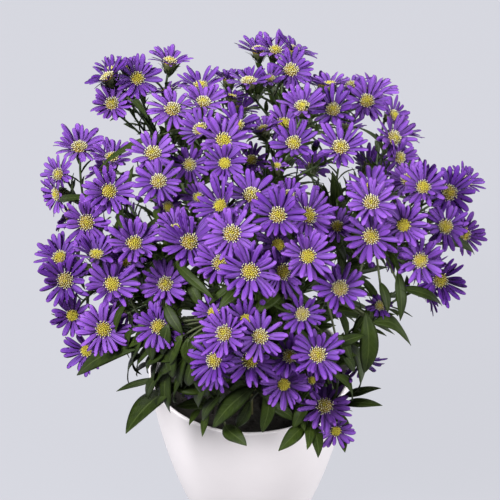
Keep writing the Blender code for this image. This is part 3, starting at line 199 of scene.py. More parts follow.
def placeBlooms():  # centre, facing, radius and moving line of each bloom
    rows = []
    for x, v, radius, faceRight, faceUp, layer in frontRows:
        ray = sightLine(x * mm, v * mm)
        centre = onCrown(x * mm, v * mm, layer * crown["layerStep"])
        up = unit(np.cross(rightWay, ray))
        toward = math.sqrt(max(0.0, 1.0 - faceRight ** 2 - faceUp ** 2))
        face = unit(faceRight * np.cross(ray, up) + faceUp * up - toward * ray)
        rows.append((centre, face, radius * mm, -ray))
    rng = random.Random(crown["backSeed"])
    points = crown["backPoints"]
    for i in range(points):      # the back: even places on a golden spiral, where the front blooms leave room
        height = 1.0 - 2.0 * (i + 0.5) / points
        ring = math.sqrt(1.0 - height * height)
        ball = np.array((ring * math.cos(i * golden), ring * math.sin(i * golden), height))
        size = np.array((crown["radius"], crown["radius"], crown["rise"] if height > 0 else crown["drop"]))
        centre = crown["centre"] + ball * size
        normal = unit(ball / size)
        spot = centre - normal * rng.uniform(0.0, crown["backSink"])
        lean = np.array((rng.uniform(-0.3, 0.3), rng.uniform(-0.3, 0.3), rng.uniform(0.2, 0.6)))
        if normal @ unit(eye - centre) > crown["backFacing"] or centre[2] < crown["backLowest"]:
            continue
        if min(np.linalg.norm(spot - row[0]) for row in rows) < crown["backSpacing"]:
            continue
        face = unit(normal + lean)
        rows.append((spot, face, crown["backBloom"] * rng.uniform(*crown["backSizes"]), face))
    return rows


def settle(rows):  # moves blooms a little along their lines until their round faces don't cut each other
    centres, normals, radii, lines = (np.array(column) for column in zip(*rows))
    clear, most = settlePlan["clear"], settlePlan["most"]
    moved = np.zeros(len(rows))
    angles = np.linspace(0.0, 2.0 * math.pi, settlePlan["sides"] + 1)[:-1]
    rings = np.concatenate([[(0.0, 0.0)], 0.5 * np.stack((np.cos(angles[::2]), np.sin(angles[::2])), 1),
                            np.stack((np.cos(angles), np.sin(angles)), 1)])
    faces = np.array([radius * (rings[:, :1] * across + rings[:, 1:] * over)
                      for radius, (across, over) in zip(radii, map(frameOf, normals))])
    for turn in range(settlePlan["turns"]):
        worst = 0.0
        for i, j in itertools.permutations(range(len(rows)), 2):
            if np.linalg.norm(centres[i] - centres[j]) > radii[i] + radii[j]:
                continue
            away = centres[j] + faces[j] - centres[i]
            height = away @ normals[i]
            over = np.linalg.norm(away - height[:, None] * normals[i], axis=1) < radii[i]
            if not over.any():
                continue
            low, high = height[over].min(), height[over].max()
            if low > clear or high < -clear:
                continue
            shift = min(clear - low, -clear - high, key=abs)
            worst = max(worst, abs(shift))
            for k, share in ((j, settlePlan["share"] * shift), (i, -settlePlan["share"] * shift)):
                slope = lines[k] @ normals[i]
                if abs(slope) < settlePlan["leastSlope"]:
                    continue
                step = max(-settlePlan["step"], min(settlePlan["step"], share / slope))
                step = max(-most - moved[k], min(most - moved[k], step))
                moved[k] += step
                centres[k] = centres[k] + lines[k] * step
        if worst < settlePlan["enough"]:
            break
    return centres, normals, radii


def shareOut(centres):  # each bloom's stem, and the middle of each stem's blooms
    count = stemPlan["count"]
    heads = []
    for k in range(count):
        ring = crown["radius"] * 0.85 * math.sqrt((k + 0.3) / count)
        angle = k * golden - 1.2
        heads.append(crown["centre"] + np.array((ring * math.cos(angle), ring * math.sin(angle), 0.03)))
    heads = np.array(heads)
    for turn in range(12):
        owner = np.linalg.norm(centres[:, None] - heads[None], axis=2).argmin(axis=1)
        heads = np.array([centres[owner == k].mean(axis=0) for k in range(count)])
    return owner, heads


def stemCurve(head):  # four control points, from the hole in the soil to just under the blooms
    out = np.array((head[0], head[1], 0.0))
    share = min(1.0, np.linalg.norm(out) / 0.09)
    aim = unit(out) if np.linalg.norm(out) > 1e-6 else rightWay
    foot = aim * stemPlan["footRing"] * share + upWay * (soilTop - stemPlan["sink"])
    away = unit(head - upWay * (soilTop + 0.03))
    top = head - away * stemPlan["headDepth"]
    rise = top[2] - foot[2]
    return foot, foot + upWay * 0.45 * rise + aim * 0.004, top - away * 0.35 * rise, top


def bezier(p0, p1, p2, p3, t):
    s = 1.0 - t
    return s ** 3 * p0 + 3 * s * s * t * p1 + 3 * s * t * t * p2 + t ** 3 * p3


def onStem(stem, t):  # in straight runs between the marks, as the solid stem
    rings = [bezier(*stem, mark) for mark in stemPlan["marks"]]
    return np.array([np.interp(t, stemPlan["marks"], [ring[axis] for ring in rings]) for axis in range(3)])


def stemWay(stem, t):
    return unit(bezier(*stem, min(1.0, t + 0.02)) - bezier(*stem, t - 0.02))


def cupSize(radius):
    return 0.6 + 0.4 * min(1.0, radius / 0.017)


def stalkPath(stem, centre, normal, radius, start, bow, lean):
    root = onStem(stem, start)
    top = centre - normal * stemPlan["cupTop"]
    neck = centre - normal * (stemPlan["cupTop"] + stemPlan["cupLength"] * cupSize(radius))
    span = np.linalg.norm(neck - root)
    knee = bezier(root, root + stemWay(stem, start) * 0.35 * span, neck - normal * bow * span, neck, 0.5)
    if span < stemPlan["shortStalk"] and lean == 0.0:
        return [root, neck, top]
    return [root, knee + frameOf(normal)[0] * lean, neck, top]


def bestStart(stem, centre, normal):
    best = (1e9, 0.5)
    for k in range(12, 48):
        t = k / 50.0
        spot = bezier(*stem, t)
        line = centre - normal * 0.02 - spot
        rise = (line @ unit(bezier(*stem, t + 0.02) - spot)) / np.linalg.norm(line)
        best = min(best, (np.linalg.norm(line) + 0.03 * abs(rise - 0.75), t))
    return best[1]


def treeOf(points):
    tree = KDTree(len(points))
    for i, p in enumerate(points):
        tree.insert(p, i)
    tree.balance()
    return tree


def cadPoints(name):
    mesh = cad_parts[name].data
    points = np.empty(len(mesh.vertices) * 3, np.float32)
    mesh.vertices.foreach_get("co", points)
    return points.reshape(-1, 3).astype(float)


def cadSurface(name):
    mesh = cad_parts[name].data
    corners = [corner.co.copy() for corner in mesh.vertices]
    return BVHTree.FromPolygons(corners, [tuple(face.vertices) for face in mesh.polygons])


class Built:  # answers where a solid's corners and faces are, to tell which of several tries was built

    def __init__(self, names):
        self.corners = {k: treeOf(cadPoints(name)) for k, name in enumerate(names)}
        self.faces = {k: cadSurface(name) for k, name in enumerate(names)}

    def corner(self, k, spot, reach, slack=4e-5):
        return abs(self.corners[k].find(spot)[2] - reach) < slack

    def near(self, k, spots, reach):
        return all(self.faces[k].find_nearest(Vector(spot), reach)[0] is not None for spot in spots)


def findStalks(stems, centres, normals, radii, owner, built):
    tries = [(shift, bow, lean) for lean in (0.0, 0.006, -0.006, 0.012, -0.012)
             for shift in (0.0, -0.06, 0.06, -0.12, 0.12, -0.2, 0.2, -0.3) for bow in (0.35, 0.15, 0.6, 0.9)]
    paths = []
    missed = 0
    for k, centre, normal, radius in zip(owner, centres, normals, radii):
        first = bestStart(stems[k], centre, normal)
        for shift, bow, lean in tries + [(0.0, stemPlan["firstBow"], 0.0)]:
            start = min(stemPlan["highestStart"], max(stemPlan["lowestStart"], first + shift))
            path = stalkPath(stems[k], centre, normal, radius, start, bow, lean)
            if len(path) == 4:
                fits = built.corner(k, path[1], stemPlan["stalkRadius"] * 1.1)
            else:
                fits = built.near(k, [0.5 * (path[0] + path[1])], 0.0009)
            if fits:
                break
        missed += not fits
        paths.append(path)
    print("stalks", len(paths), "not matched", missed)
    return paths


def footholds(stems, paths, owner):
    places = [(k, onStem(stem, t)) for k, stem in enumerate(stems) for t in np.linspace(0.2, 0.88, 12)]
    for k, path in zip(owner, paths):
        for low, high in zip(path[:-1], path[1:-1]):
            places += [(int(k), low + (high - low) * share) for share in stemPlan["twigShares"]]
    return places


def leafRoots(holds, base, tip):
    found = []
    for k, root in holds:
        run = base - root
        distance = np.linalg.norm(run)
        if distance > stemPlan["leastStalk"] and run @ unit(tip - base) > 0.1 * distance:
            found.append((distance, k, tuple(root)))
    return sorted(found)[:leafPlan["rootTries"]]


def roundLeaf(angle, ranges, rng):  # base, tip and width of a leaf that points outwards
    aim = np.array((math.cos(angle), math.sin(angle), 0.0))
    baseOut, baseUp, tipOut, tipUp, width = (rng.uniform(*limits) for limits in ranges)
    return rimCentre + aim * baseOut + upWay * baseUp, rimCentre + aim * tipOut + upWay * tipUp, width


def leafPlans(rng):  # those read from the front, a like skirt round the back, and a ruff in the pot's mouth
    plans = []
    for row in leafRows:
        right, up, deep, tipRight, tipUp, tipDeep, width = (mm * value for value in row)
        plans.append((onCrown(right, up, deep), onCrown(tipRight, tipUp, tipDeep), width))
    for k in range(leafPlan["backLeaves"]):
        angle = math.radians(5.0 + 170.0 * (k + 0.5) / leafPlan["backLeaves"]) + rng.uniform(-0.06, 0.06)
        plans.append(roundLeaf(angle, leafPlan["back"], rng))
    return plans + [roundLeaf(k * golden, leafPlan["ruff"], rng) for k in range(leafPlan["ruffLeaves"])]


def findLeaf(base, tip, width, holds, built):  # the one of its tries that is in a solid, or nothing
    face = unit(upWay * 0.75 + levelWay(base) * 0.5)
    for distance, k, root in leafRoots(holds, base, tip):
        root = np.array(root)
        for tipMove, size, baseMove in leafTries:
            end = base + (tip - base) * size + np.array(tipMove)
            near = base + np.array(baseMove)
            if not built.corner(k, end, 0.0) or unit(end - near) @ unit(near - root) < 0.1:
                continue
            middle = 0.5 * (near + end) + face * leafPlan["arch"] * np.linalg.norm(end - near)
            if built.near(k, [middle], 0.0025) and built.near(k, [0.5 * (root + near)], 0.0011):
                return k, root, near, end, width * min(1.0, size + 0.15), face, 1


def findStemLeaf(k, stem, t, turn, length, built):  # likewise for a leaf that stands out of a main stem
    root = onStem(stem, t)
    along = stemWay(stem, t)
    across, over = frameOf(along)
    for extra, size in itertools.product((0.0, 0.5, -0.5, 1.0, -1.0, 1.6, -1.6, 2.4), (1.0, 0.8)):
        angle = turn * 2.4 + k + extra
        aim = unit(math.cos(angle) * across + math.sin(angle) * over + 0.55 * along)
        end = root + aim * length * size
        if built.corner(k, end, 0.0):
            return k, root, root + aim * 0.001, end, leafPlan["stemLeafWidth"] * size, along, 1


def findLeaves(stems, holds, built):  # stem, root, base, tip, width, facing and coarseness of each built leaf
    rng = random.Random(leafPlan["seed"])
    number = leafPlan["stemLeaves"]
    found = [findLeaf(base, tip, width, holds, built) for base, tip, width in leafPlans(rng)]
    for k, stem in enumerate(stems):
        for turn in range(number):
            t = 0.34 + 0.54 * (turn + rng.random()) / number
            found.append(findStemLeaf(k, stem, t, turn, rng.uniform(*leafPlan["stemLeafLength"]), built))
    print("leaves", sum(leaf is not None for leaf in found), "not matched", sum(leaf is None for leaf in found))
    return [leaf for leaf in found if leaf]


# leaves too fine for the solids: rows as in leafRows, and more by chance inside the crown
fillRows = (
    (-34, -15, 10, -17, -28, 4, 9), (-32, -18, 12, -57, -13, 4, 11), (-45, 8, 14, -63, -6, 6, 9),
    (-42, 12, 12, -50, -14, 4, 10), (-40, 5, 10, -30, -22, 2, 10), (-66, 12, 14, -72, -6, 6, 7),
    (-82, 12, 16, -77, -6, 6, 5), (-72, 20, 18, -92, 12, 10, 7), (-44, 9, 16, -66, 3, 6, 7),
    (-56, 26, 16, -70, 8, 8, 9), (-48, 22, 14, -58, 0, 6, 10), (-36, -4, 12, -46, -22, 2, 9),
    (-64, -4, 14, -72, -24, 4, 8), (-50, -12, 12, -66, -27, 2, 9), (-78, 34, 20, -70, 14, 10, 8),
    (-60, 44, 20, -48, 22, 10, 9), (-88, 44, 22, -96, 22, 12, 7), (-30, 24, 16, -46, 8, 6, 9),
    (3, -14, 12, 18, -31, 4, 12), (10, -26, 10, 32, -38, 2, 9), (34, -28, 10, 38, -46, 0, 8),
    (56, 14, 14, 82, 22, 8, 8), (58, 8, 14, 76, 8, 8, 6), (50, 26, 14, 60, 0, 4, 9),
    (24, 54, 16, 4, 38, 8, 9), (8, 50, 16, 30, 38, 8, 8), (60, -6, 14, 72, -24, 4, 9),
    (52, 4, 12, 58, -22, 2, 9),
    (78, 66, 20, 66, 44, 10, 8), (92, 60, 20, 98, 38, 10, 7), (-8, 56, 18, -22, 40, 8, 8),
    (-104, 66, 22, -92, 48, 12, 7), (-20, -20, 10, -34, -38, 0, 8), (0, -24, 10, -8, -44, 0, 8),
    (-58, 12, 14, -74, 0, 6, 10), (-54, 2, 12, -66, -16, 2, 10), (-46, -4, 12, -52, -26, 2, 10),
    (-52, 14, 12, -56, -8, 2, 10), (-38, 6, 10, -44, -14, 2, 11), (-60, 24, 16, -76, 14, 8, 9),
    (-28, -8, 10, -36, -30, 0, 10), (-44, 20, 14, -40, -2, 4, 10), (-66, 4, 16, -64, -16, 4, 9),
    (60, 22, 14, 72, 6, 6, 9), (64, 10, 14, 74, -4, 6, 8), (40, -26, 8, 30, -44, 0, 9),
    (-70, 22, 16, -84, 4, 8, 9), (-64, 16, 14, -80, -2, 6, 9), (-74, 28, 18, -80, 8, 10, 8),
    (-66, 26, 14, -70, 4, 6, 10), (-84, 26, 18, -86, 6, 10, 8), (-58, 30, 14, -62, 8, 6, 10),
    (-76, 8, 14, -86, -10, 6, 7), (-48, 50, 38, -60, 34, 34, 9), (-44, 60, 38, -34, 42, 34, 9),
)
fillLook = {
    "number": 330, "length": (0.021, 0.037), "width": (0.0055, 0.0100), "inside": 0.90,
    "tries": 5000, "seed": 71,
    "lowest": 0.15, "span": 0.19,      # metres over which the leaves thin out upwards
}


def fillLeaves(holds):
    rng = random.Random(fillLook["seed"])
    rows = []
    for row in fillRows:
        right, up, deep, tipRight, tipUp, tipDeep, width = (mm * value for value in row)
        base, tip = onCrown(right, up, deep), onCrown(tipRight, tipUp, tipDeep)
        for distance, k, root in leafRoots(holds, base, tip)[:1]:
            rows.append((k, np.array(root), base, tip, width, unit(levelWay(base) * 0.5 + 0.75 * upWay), 2))
    size = np.array((crown["radius"], crown["radius"], crown["drop"])) * fillLook["inside"]
    for turn in range(fillLook["tries"]):
        if len(rows) >= fillLook["number"]:
            break
        k, root = rng.choice(holds)
        if rng.random() < (root[2] - fillLook["lowest"]) / fillLook["span"]:
            continue
        aim = levelWay(root) * rng.uniform(0.2, 1.0) + upWay * rng.uniform(-0.35, 0.9)
        aim = unit(aim + np.array([rng.uniform(-0.7, 0.7) for axis in range(3)]))
        length = rng.uniform(*fillLook["length"])
        base = root + aim * 0.004
        tip = base + aim * length - upWay * 0.15 * length
        overRim = math.hypot(tip[0], tip[1]) > 0.058 and tip[2] < pot["height"] + 0.012
        if overRim or tip[2] < soilTop + 0.008 or np.linalg.norm((tip - crown["centre"]) / size) > 1.0:
            continue
        face = unit(upWay + 0.4 * levelWay(root))
        rows.append((k, root, base, tip, rng.uniform(*fillLook["width"]), face, 3))
    return rows


def findBuds(holds, built):  # stem, root, knee, neck, tip, outward way and length of each bud
    buds = []
    for right, up, deep, length in budRows:
        spot = onCrown(right * mm, up * mm, deep * mm)
        size = length * mm
        outward = unit(spot - crown["centre"] + upWay * 0.05)
        neck = spot - outward * size
        roots = sorted((np.linalg.norm(neck - root), k, tuple(root)) for k, root in holds)
        roots = [(distance, k, root) for distance, k, root in roots
                 if (neck - root) @ outward > 0.4 * distance > 0.4 * stemPlan["leastStalk"]]
        for (distance, k, root), shift in itertools.product(roots[:leafPlan["rootTries"]], budTries):
            tip = spot + np.array(shift)
            neck = tip - outward * size
            knee = 0.5 * (np.array(root) + neck) - outward * 0.1 * distance
            if built.corner(k, tip, 0.05 * size, 6e-5) and built.near(k, [knee], 0.0012):
                buds.append((k, np.array(root), knee, neck, tip, outward, size))
                break
    print("buds", len(buds))
    return buds


centres, normals, radii = settle(placeBlooms())
acrossWays, overWays = np.array([frameOf(normal) for normal in normals]).transpose(1, 0, 2)
owner, heads = shareOut(centres)
stems = [stemCurve(head) for head in heads]
stemNames = ["leafy_stem_%02d" % (k + 1) for k in range(stemPlan["count"])]
bloomNames = sorted(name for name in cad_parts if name.startswith("blooms_"))
built = Built(stemNames)
stalks = findStalks(stems, centres, normals, radii, owner, built)
holds = footholds(stems, stalks, owner)
leaves = findLeaves(stems, holds, built) + fillLeaves(holds)
buds = findBuds(holds, built)


# Shapes

def sleeves(rings):  # closed skins over rings of points, one ring a station: copies x stations x ring x 3
    copies, stations, ring = rings.shape[:3]
    index = np.arange(copies * stations * ring).reshape(copies, stations, ring)
    ahead = np.roll(index, -1, axis=2)
    sides = np.stack((index[:, :-1], ahead[:, :-1], ahead[:, 1:], index[:, 1:]), -1).reshape(-1, 4)
    return rings.reshape(-1, 3), [sides, index[:, 0, ::-1].copy(), index[:, -1].copy()]


def spread(values, shape):  # one value a copy, station or point, spread over all the points
    return np.broadcast_to(values, shape).reshape(-1)


def newBundle():
    return {"points": [], "faces": [], "paint": [], "along": [], "across": [], "tint": [], "count": 0}


def gather(bundle, rings, paint, along, across, tint):
    points, faces = sleeves(rings)
    shape = rings.shape[:3]
    for face in faces:
        bundle["faces"].append(face + bundle["count"])
        bundle["paint"].append(np.full(len(face), paint))
    bundle["points"].append(points)
    bundle["along"].append(spread(along, shape))
    bundle["across"].append(spread(across, shape))
    bundle["tint"].append(spread(tint, shape))
    bundle["count"] += len(points)


def piece(name, bundle, materials, nodes):
    points = np.concatenate(bundle["points"]).astype(np.float32)
    loops = np.concatenate([face.ravel() for face in bundle["faces"]]).astype(np.int32)
    sizes = np.concatenate([np.full(len(face), face.shape[1]) for face in bundle["faces"]]).astype(np.int32)
    mesh = bpy.data.meshes.new(name)
    mesh.vertices.add(len(points))
    mesh.vertices.foreach_set("co", points.ravel())
    mesh.loops.add(len(loops))
    mesh.loops.foreach_set("vertex_index", loops)
    mesh.polygons.add(len(sizes))
    mesh.polygons.foreach_set("loop_start", np.concatenate(([0], np.cumsum(sizes)[:-1])).astype(np.int32))
    mesh.polygons.foreach_set("material_index", np.concatenate(bundle["paint"]).astype(np.int32))
    mesh.polygons.foreach_set("use_smooth", np.ones(len(sizes), bool))
    for key in ("along", "across", "tint"):
        mesh.attributes.new(key, "FLOAT", "POINT").data.foreach_set(
            "value", np.concatenate(bundle[key]).astype(np.float32))
    mesh.update(calc_edges=True)
    mesh.validate()
    for material in materials:
        mesh.materials.append(material)
    obj = bpy.data.objects.new(name, mesh)
    bpy.context.scene.collection.objects.link(obj)
    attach(obj, "root")
    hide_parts(*nodes)
    return obj


def carried(path):  # unit ways along, beside and over a path, beside held level: copies x stations x 3
    along = np.empty_like(path)
    along[:, 1:-1] = path[:, 2:] - path[:, :-2]
    along[:, 0] = path[:, 1] - path[:, 0]
    along[:, -1] = path[:, -1] - path[:, -2]
    along = units(along)
    whole = units(path[:, -1:] - path[:, :1])
    guide = np.where(np.abs(whole[..., 2:]) < 0.92, upWay, rightWay)
    over = units(guide - along * (guide * along).sum(-1, keepdims=True))
    return along, np.cross(over, along), over


def tubes(path, radius, sides):  # round rings: each point is path + radius (cos a beside + sin a over)
    along, beside, over = carried(path)
    ring = turned(np.arange(sides) * 2.0 * math.pi / sides, beside[:, :, None], over[:, :, None])
    return path[:, :, None] + radius[:, :, None, None] * ring[:, :, ::-1]


def strips(spine, side, face, roll, half, q, lift):  # flat rings: spine + half q sideways + lift upwards
    sideways = turned(roll, side[:, None], face[:, None])
    upward = turned(roll, face[:, None], -side[:, None])
    return (spine[:, :, None] + sideways[:, :, None] * (half[..., None] * q)[..., None]
            + upward[:, :, None] * lift[..., None])


def bends(points, stations):  # a smooth curve through a start, a middle and an end: copies x 3 x 3
    t = np.linspace(0.0, 1.0, stations)[None, :, None]
    start, middle, end = points[:, 0:1], points[:, 1:2], points[:, 2:3]
    pull = 2.0 * middle - 0.5 * (start + end)
    return (1 - t) ** 2 * start + 2 * t * (1 - t) * pull + t * t * end


def bend(start, middle, end, stations):
    return bends(np.array([[start, middle, end]]), stations)


def stalkCurve(path, stations):  # a bloom's stalk, up to the neck under its cup
    knee = path[1] if len(path) == 4 else 0.5 * (path[0] + path[-2])
    return bend(path[0], knee, path[-2], stations)


# Rays. A ray runs from under the disc's edge to the flower's radius. Its width swells to three fifths of the
# way and then closes on an ellipse to a blunt tip. It climbs out of the flower's plane along span (a t - b t
# squared), and its face is a shallow trough with a ridge down the middle.

rayLook = {
    "most": 27, "fewest": 19, "least": 14, "root": 0.0034,
    "width": 0.00184, "thick": 0.00024, "trough": 0.00022,
    "stations": np.array((0.0, 0.18, 0.40, 0.62, 0.82, 0.94, 1.0)), "widest": 0.64, "sink": 0.0008,
    "inner": 0.22, "innerReach": 0.80, "jitter": 0.42, "sway": 0.07, "roll": 0.38, "wide": (0.78, 1.18),
    "lift": (0.30, 0.62), "fall": (0.06, 0.24), "curl": (0.5, 1.7),
    "cups": (1.0, 0.75, 0.5, 0.25, 0.0, -0.15), "cupStations": (0.45, 0.72, 1.0), "cupReach": 0.02, "seed": 21,
    "across": np.array((-1.0, -0.5, 0.0, 0.5, 1.0, 0.0)), "above": np.array((1.0, -0.5, 0.35, -0.5, 1.0, 0.0)),
    "below": np.array((0.0, 0.0, 0.0, 0.0, 0.0, 1.0)),
}
# blooms whose discs are still bright yellow, by their first two numbers in frontRows
youngPlaces = ((-18, 144), (-126, 36), (-21, 114), (-26, 38), (20, 86), (86, 127), (61, -46), (-3, 33),
               (109, 100), (24, -13), (-116, 11), (44, -10))


def rayHeight(length, climb, fall, t):
    return length * (climb * t - fall * t * t)


def clearCup(flower, root, length, out, climb, fall, meanSlope):  # how far a ray may climb and cross no head
    best = np.full(len(flower), rayLook["cups"][-1])
    undecided = np.ones(len(flower), bool)
    for cup in rayLook["cups"]:
        bad = np.zeros(len(flower), bool)
        for t in rayLook["cupStations"]:
            flat = centres[flower] + out * (root + length * t)[:, None]
            lifted = flat + normals[flower] * (cup * rayHeight(length, climb, fall, t))[:, None]
            after = lifted[:, None] - centres[None]
            low = ((flat[:, None] - centres[None]) * normals[None]).sum(-1)
            high = (after * normals[None]).sum(-1)
            off = np.linalg.norm(after - high[..., None] * normals[None], axis=-1)
            cone = meanSlope[None] * np.maximum(0.0, off - rayLook["root"])
            over = (off < radii[None] * 0.97) & (np.arange(len(centres))[None] != flower[:, None])
            bad |= (over & ((low > 0.0) != (high > cone)) & (np.abs(low) < rayLook["cupReach"])).any(axis=1)
        best = np.where(undecided & ~bad, cup, best)
        undecided &= bad
    return best


def makeRays():  # flower, rings, place along and across, tint of each ray (how much painted shade it gets), and the ripeness of each flower
    rng = np.random.default_rng(rayLook["seed"])
    count = len(centres)
    young = [k for k, row in enumerate(frontRows) if row[:2] in youngPlaces]
    ripeness = rng.uniform(0.35, 1.0, count)
    ripeness[young] = rng.uniform(0.0, 0.15, len(young))
    number = np.round(rng.uniform(rayLook["fewest"], rayLook["most"], count)
                      * np.minimum(1.0, 0.45 + 0.55 * radii / 0.018)).astype(int)
    number = np.maximum(rayLook["least"], number)
    flower = np.repeat(np.arange(count), number)
    order = np.concatenate([np.arange(n) for n in number])
    odd = order % 2
    many = len(flower)
    turn = rng.uniform(0.0, 2.0 * math.pi, count)[flower]
    order = order + rng.uniform(-rayLook["jitter"], rayLook["jitter"], many)
    angle = turn + 2.0 * math.pi * order / number[flower]
    layer = odd * 0.6 + rng.uniform(0.0, 0.4, many)
    face = normals[flower]
    out = turned(angle, acrossWays[flower], overWays[flower])
    side = np.cross(face, out)
    scale = (radii / 0.018)[flower]
    root = rayLook["root"] * np.minimum(1.0, scale)
    inner = rng.random(many) < rayLook["inner"]      # some rays stand in a shorter row inside the others
    length = radii[flower] * (1.06 - 0.20 * rng.uniform(0.0, 1.0, many) ** 1.7) * (1.0 - 0.05 * layer)
    length = length * np.where(inner, rayLook["innerReach"], 1.0) - root
    lift = rng.uniform(*rayLook["lift"], count) + 0.16 * (1.0 - ripeness)
    climb = lift[flower] + rng.normal(0.0, 0.06, many) + 0.08 * layer + 0.22 * inner
    fall = rng.uniform(*rayLook["fall"], count)[flower] + rng.normal(0.0, 0.06, many)
    cup = clearCup(flower, root, length, out, climb, fall, 0.6 * lift)
    sway = rng.normal(0.0, rayLook["sway"], many)
    roll = rng.normal(0.0, rayLook["roll"], many)
    curl = rng.uniform(*rayLook["curl"], many)
    wide = rayLook["width"] * scale ** 0.8 * rng.uniform(*rayLook["wide"], many)
    t = rayLook["stations"][None, :]
    near = t / rayLook["widest"]
    far = (t - rayLook["widest"]) / (1.01 - rayLook["widest"])
    swell = np.where(t < rayLook["widest"], 0.34 + 0.66 * np.sin(np.minimum(near, 1.0) * math.pi / 2.0),
                     np.sqrt(np.maximum(0.0, 1.0 - np.maximum(far, 0.0) ** 2.6)))
    height = cup[:, None] * rayHeight(length[:, None], climb[:, None], fall[:, None], t)
    height = height - rayLook["sink"] + 0.0007 * layer[:, None]
    distance = root[:, None] + length[:, None] * t * np.sqrt(1.0 - 0.35 * (cup * climb)[:, None] ** 2)
    shift = length[:, None] * sway[:, None] * t * t
    spine = (centres[flower][:, None] + out[:, None] * distance[..., None] + face[:, None] * height[..., None]
             + side[:, None] * shift[..., None])
    trough = (rayLook["trough"] * curl[:, None] * swell)[..., None]
    raised = trough * rayLook["above"] - rayLook["below"] * (rayLook["thick"] + 0.3 * trough)
    q = rayLook["across"]
    rings = strips(spine, side, face, roll[:, None] * t, wide[:, None] * swell, q, raised)
    # tint is mostly one draw per bloom, setting how much painted shade its rays get, with a little more ray by
    # ray
    tint = np.clip(0.55 + 0.27 * rng.normal(0.0, 1.0, count)[flower] + rng.normal(0.0, 0.12, many), 0.0, 1.0)
    return flower, rings, np.broadcast_to(t[..., None], rings.shape[:3]), q, tint, ripeness


# Discs. Florets stand on a dome in a golden-angle spiral. A shut one is a low knob, an open one is a pin with a
# club at its tip, and they open from the rim inwards as the flower ripens.

discLook = {
    "florets": 72, "radius": 0.0047, "rise": 0.0023, "seed": 8, "sides": 4, "domeSides": 14, "domeRings": 6,
    "shut": np.array((0.00040, 0.00047, 0.00044, 0.00020)), "shutHeight": 0.0009,
    "open": np.array((0.00030, 0.00021, 0.00036, 0.00022)), "openHeight": 0.0019,
    "stations": np.array((-0.25, 0.35, 0.80, 1.0)), "along": np.array((0.0, 0.45, 0.85, 1.0)),
}


def makeDiscs(ripeness):  # flower, rings, place along, openness and tint of each floret, and the domes
    rng = np.random.default_rng(discLook["seed"])
    count, number = len(centres), discLook["florets"]
    scale = np.clip(radii / 0.018, 0.55, 1.1) * (0.84 + 0.18 * np.minimum(1.0, ripeness * 1.6))
    share = np.sqrt((np.arange(number) + 0.5) / number)[None, :]
    angle = (np.arange(number) * golden)[None, :] + rng.uniform(0.0, 6.0, count)[:, None]
    angle = angle + rng.normal(0.0, 0.05, (count, number))
    ways = turned(angle, acrossWays[:, None], overWays[:, None])
    flat = discLook["radius"] * scale[:, None] * share
    top = discLook["rise"] * scale[:, None] * (1.0 - share ** 2) ** 0.75 - 0.0004
    stand = centres[:, None] + ways * flat[..., None] + normals[:, None] * top[..., None]
    lean = 0.85 * share ** 2 + rng.normal(0.0, 0.12, (count, number))
    lean = units(normals[:, None] + ways * lean[..., None])
    opened = share - 0.86 + 0.75 * ripeness[:, None] + rng.normal(0.0, 0.12, (count, number))
    opened = np.clip(opened * 3.0, 0.0, 1.0)
    small = scale[:, None] ** 0.5
    tall = discLook["shutHeight"] + (discLook["openHeight"] - discLook["shutHeight"]) * opened
    tall = tall * rng.uniform(0.75, 1.2, (count, number)) * small
    width = (discLook["shut"] + (discLook["open"] - discLook["shut"]) * opened[..., None]) * small[..., None]
    path = stand[:, :, None] + lean[:, :, None] * (tall[..., None] * discLook["stations"])[..., None]
    rings = tubes(path.reshape(count * number, -1, 3), width.reshape(count * number, -1), discLook["sides"])
    tint = rng.uniform(0.0, 1.0, count * number).reshape(-1, 1, 1)
    along = discLook["along"][None, :, None]
    return (np.repeat(np.arange(count), number), rings, along, opened.reshape(-1, 1, 1), tint), domeRings(scale)


def domeRings(scale):  # a quarter-circle profile turned round each flower's facing
    t = np.linspace(0.0, 1.45, discLook["domeRings"])[:, None, None]
    angle = np.arange(discLook["domeSides"]) * 2.0 * math.pi / discLook["domeSides"]
    ways = turned(angle, acrossWays[:, None], overWays[:, None])[:, None]
    rise = discLook["rise"] * np.sin(t) - 0.0007
    return centres[:, None, None] + scale[:, None, None, None] * (
        discLook["radius"] * np.cos(t) * ways + rise * normals[:, None, None])


# Green parts. A stalk bends smoothly from its stem to the cup, a cup is a bell with pointed bracts round it.

greenLook = {
    "stemStations": 30, "stemSides": 10, "joints": 70.0, "stalkStations": 13, "stalkSides": 7, "cupSides": 12,
    "neck": 0.0009, "bracts": 15, "bractLength": 0.0052, "bractWidth": 0.00062, "seed": 4,
    "bractStations": np.array((0.0, 0.3, 0.62, 0.86, 1.0)),
    "bractShape": np.array((0.9, 1.15, 1.0, 0.55, 0.12)),
}


def bellRadius(share, size):  # the cup's radius at a share of its height
    neck, wide = greenLook["neck"], stemPlan["cupRadius"] * size
    return neck + (wide - neck) * np.sin(share * math.pi / 2.0) ** 0.7


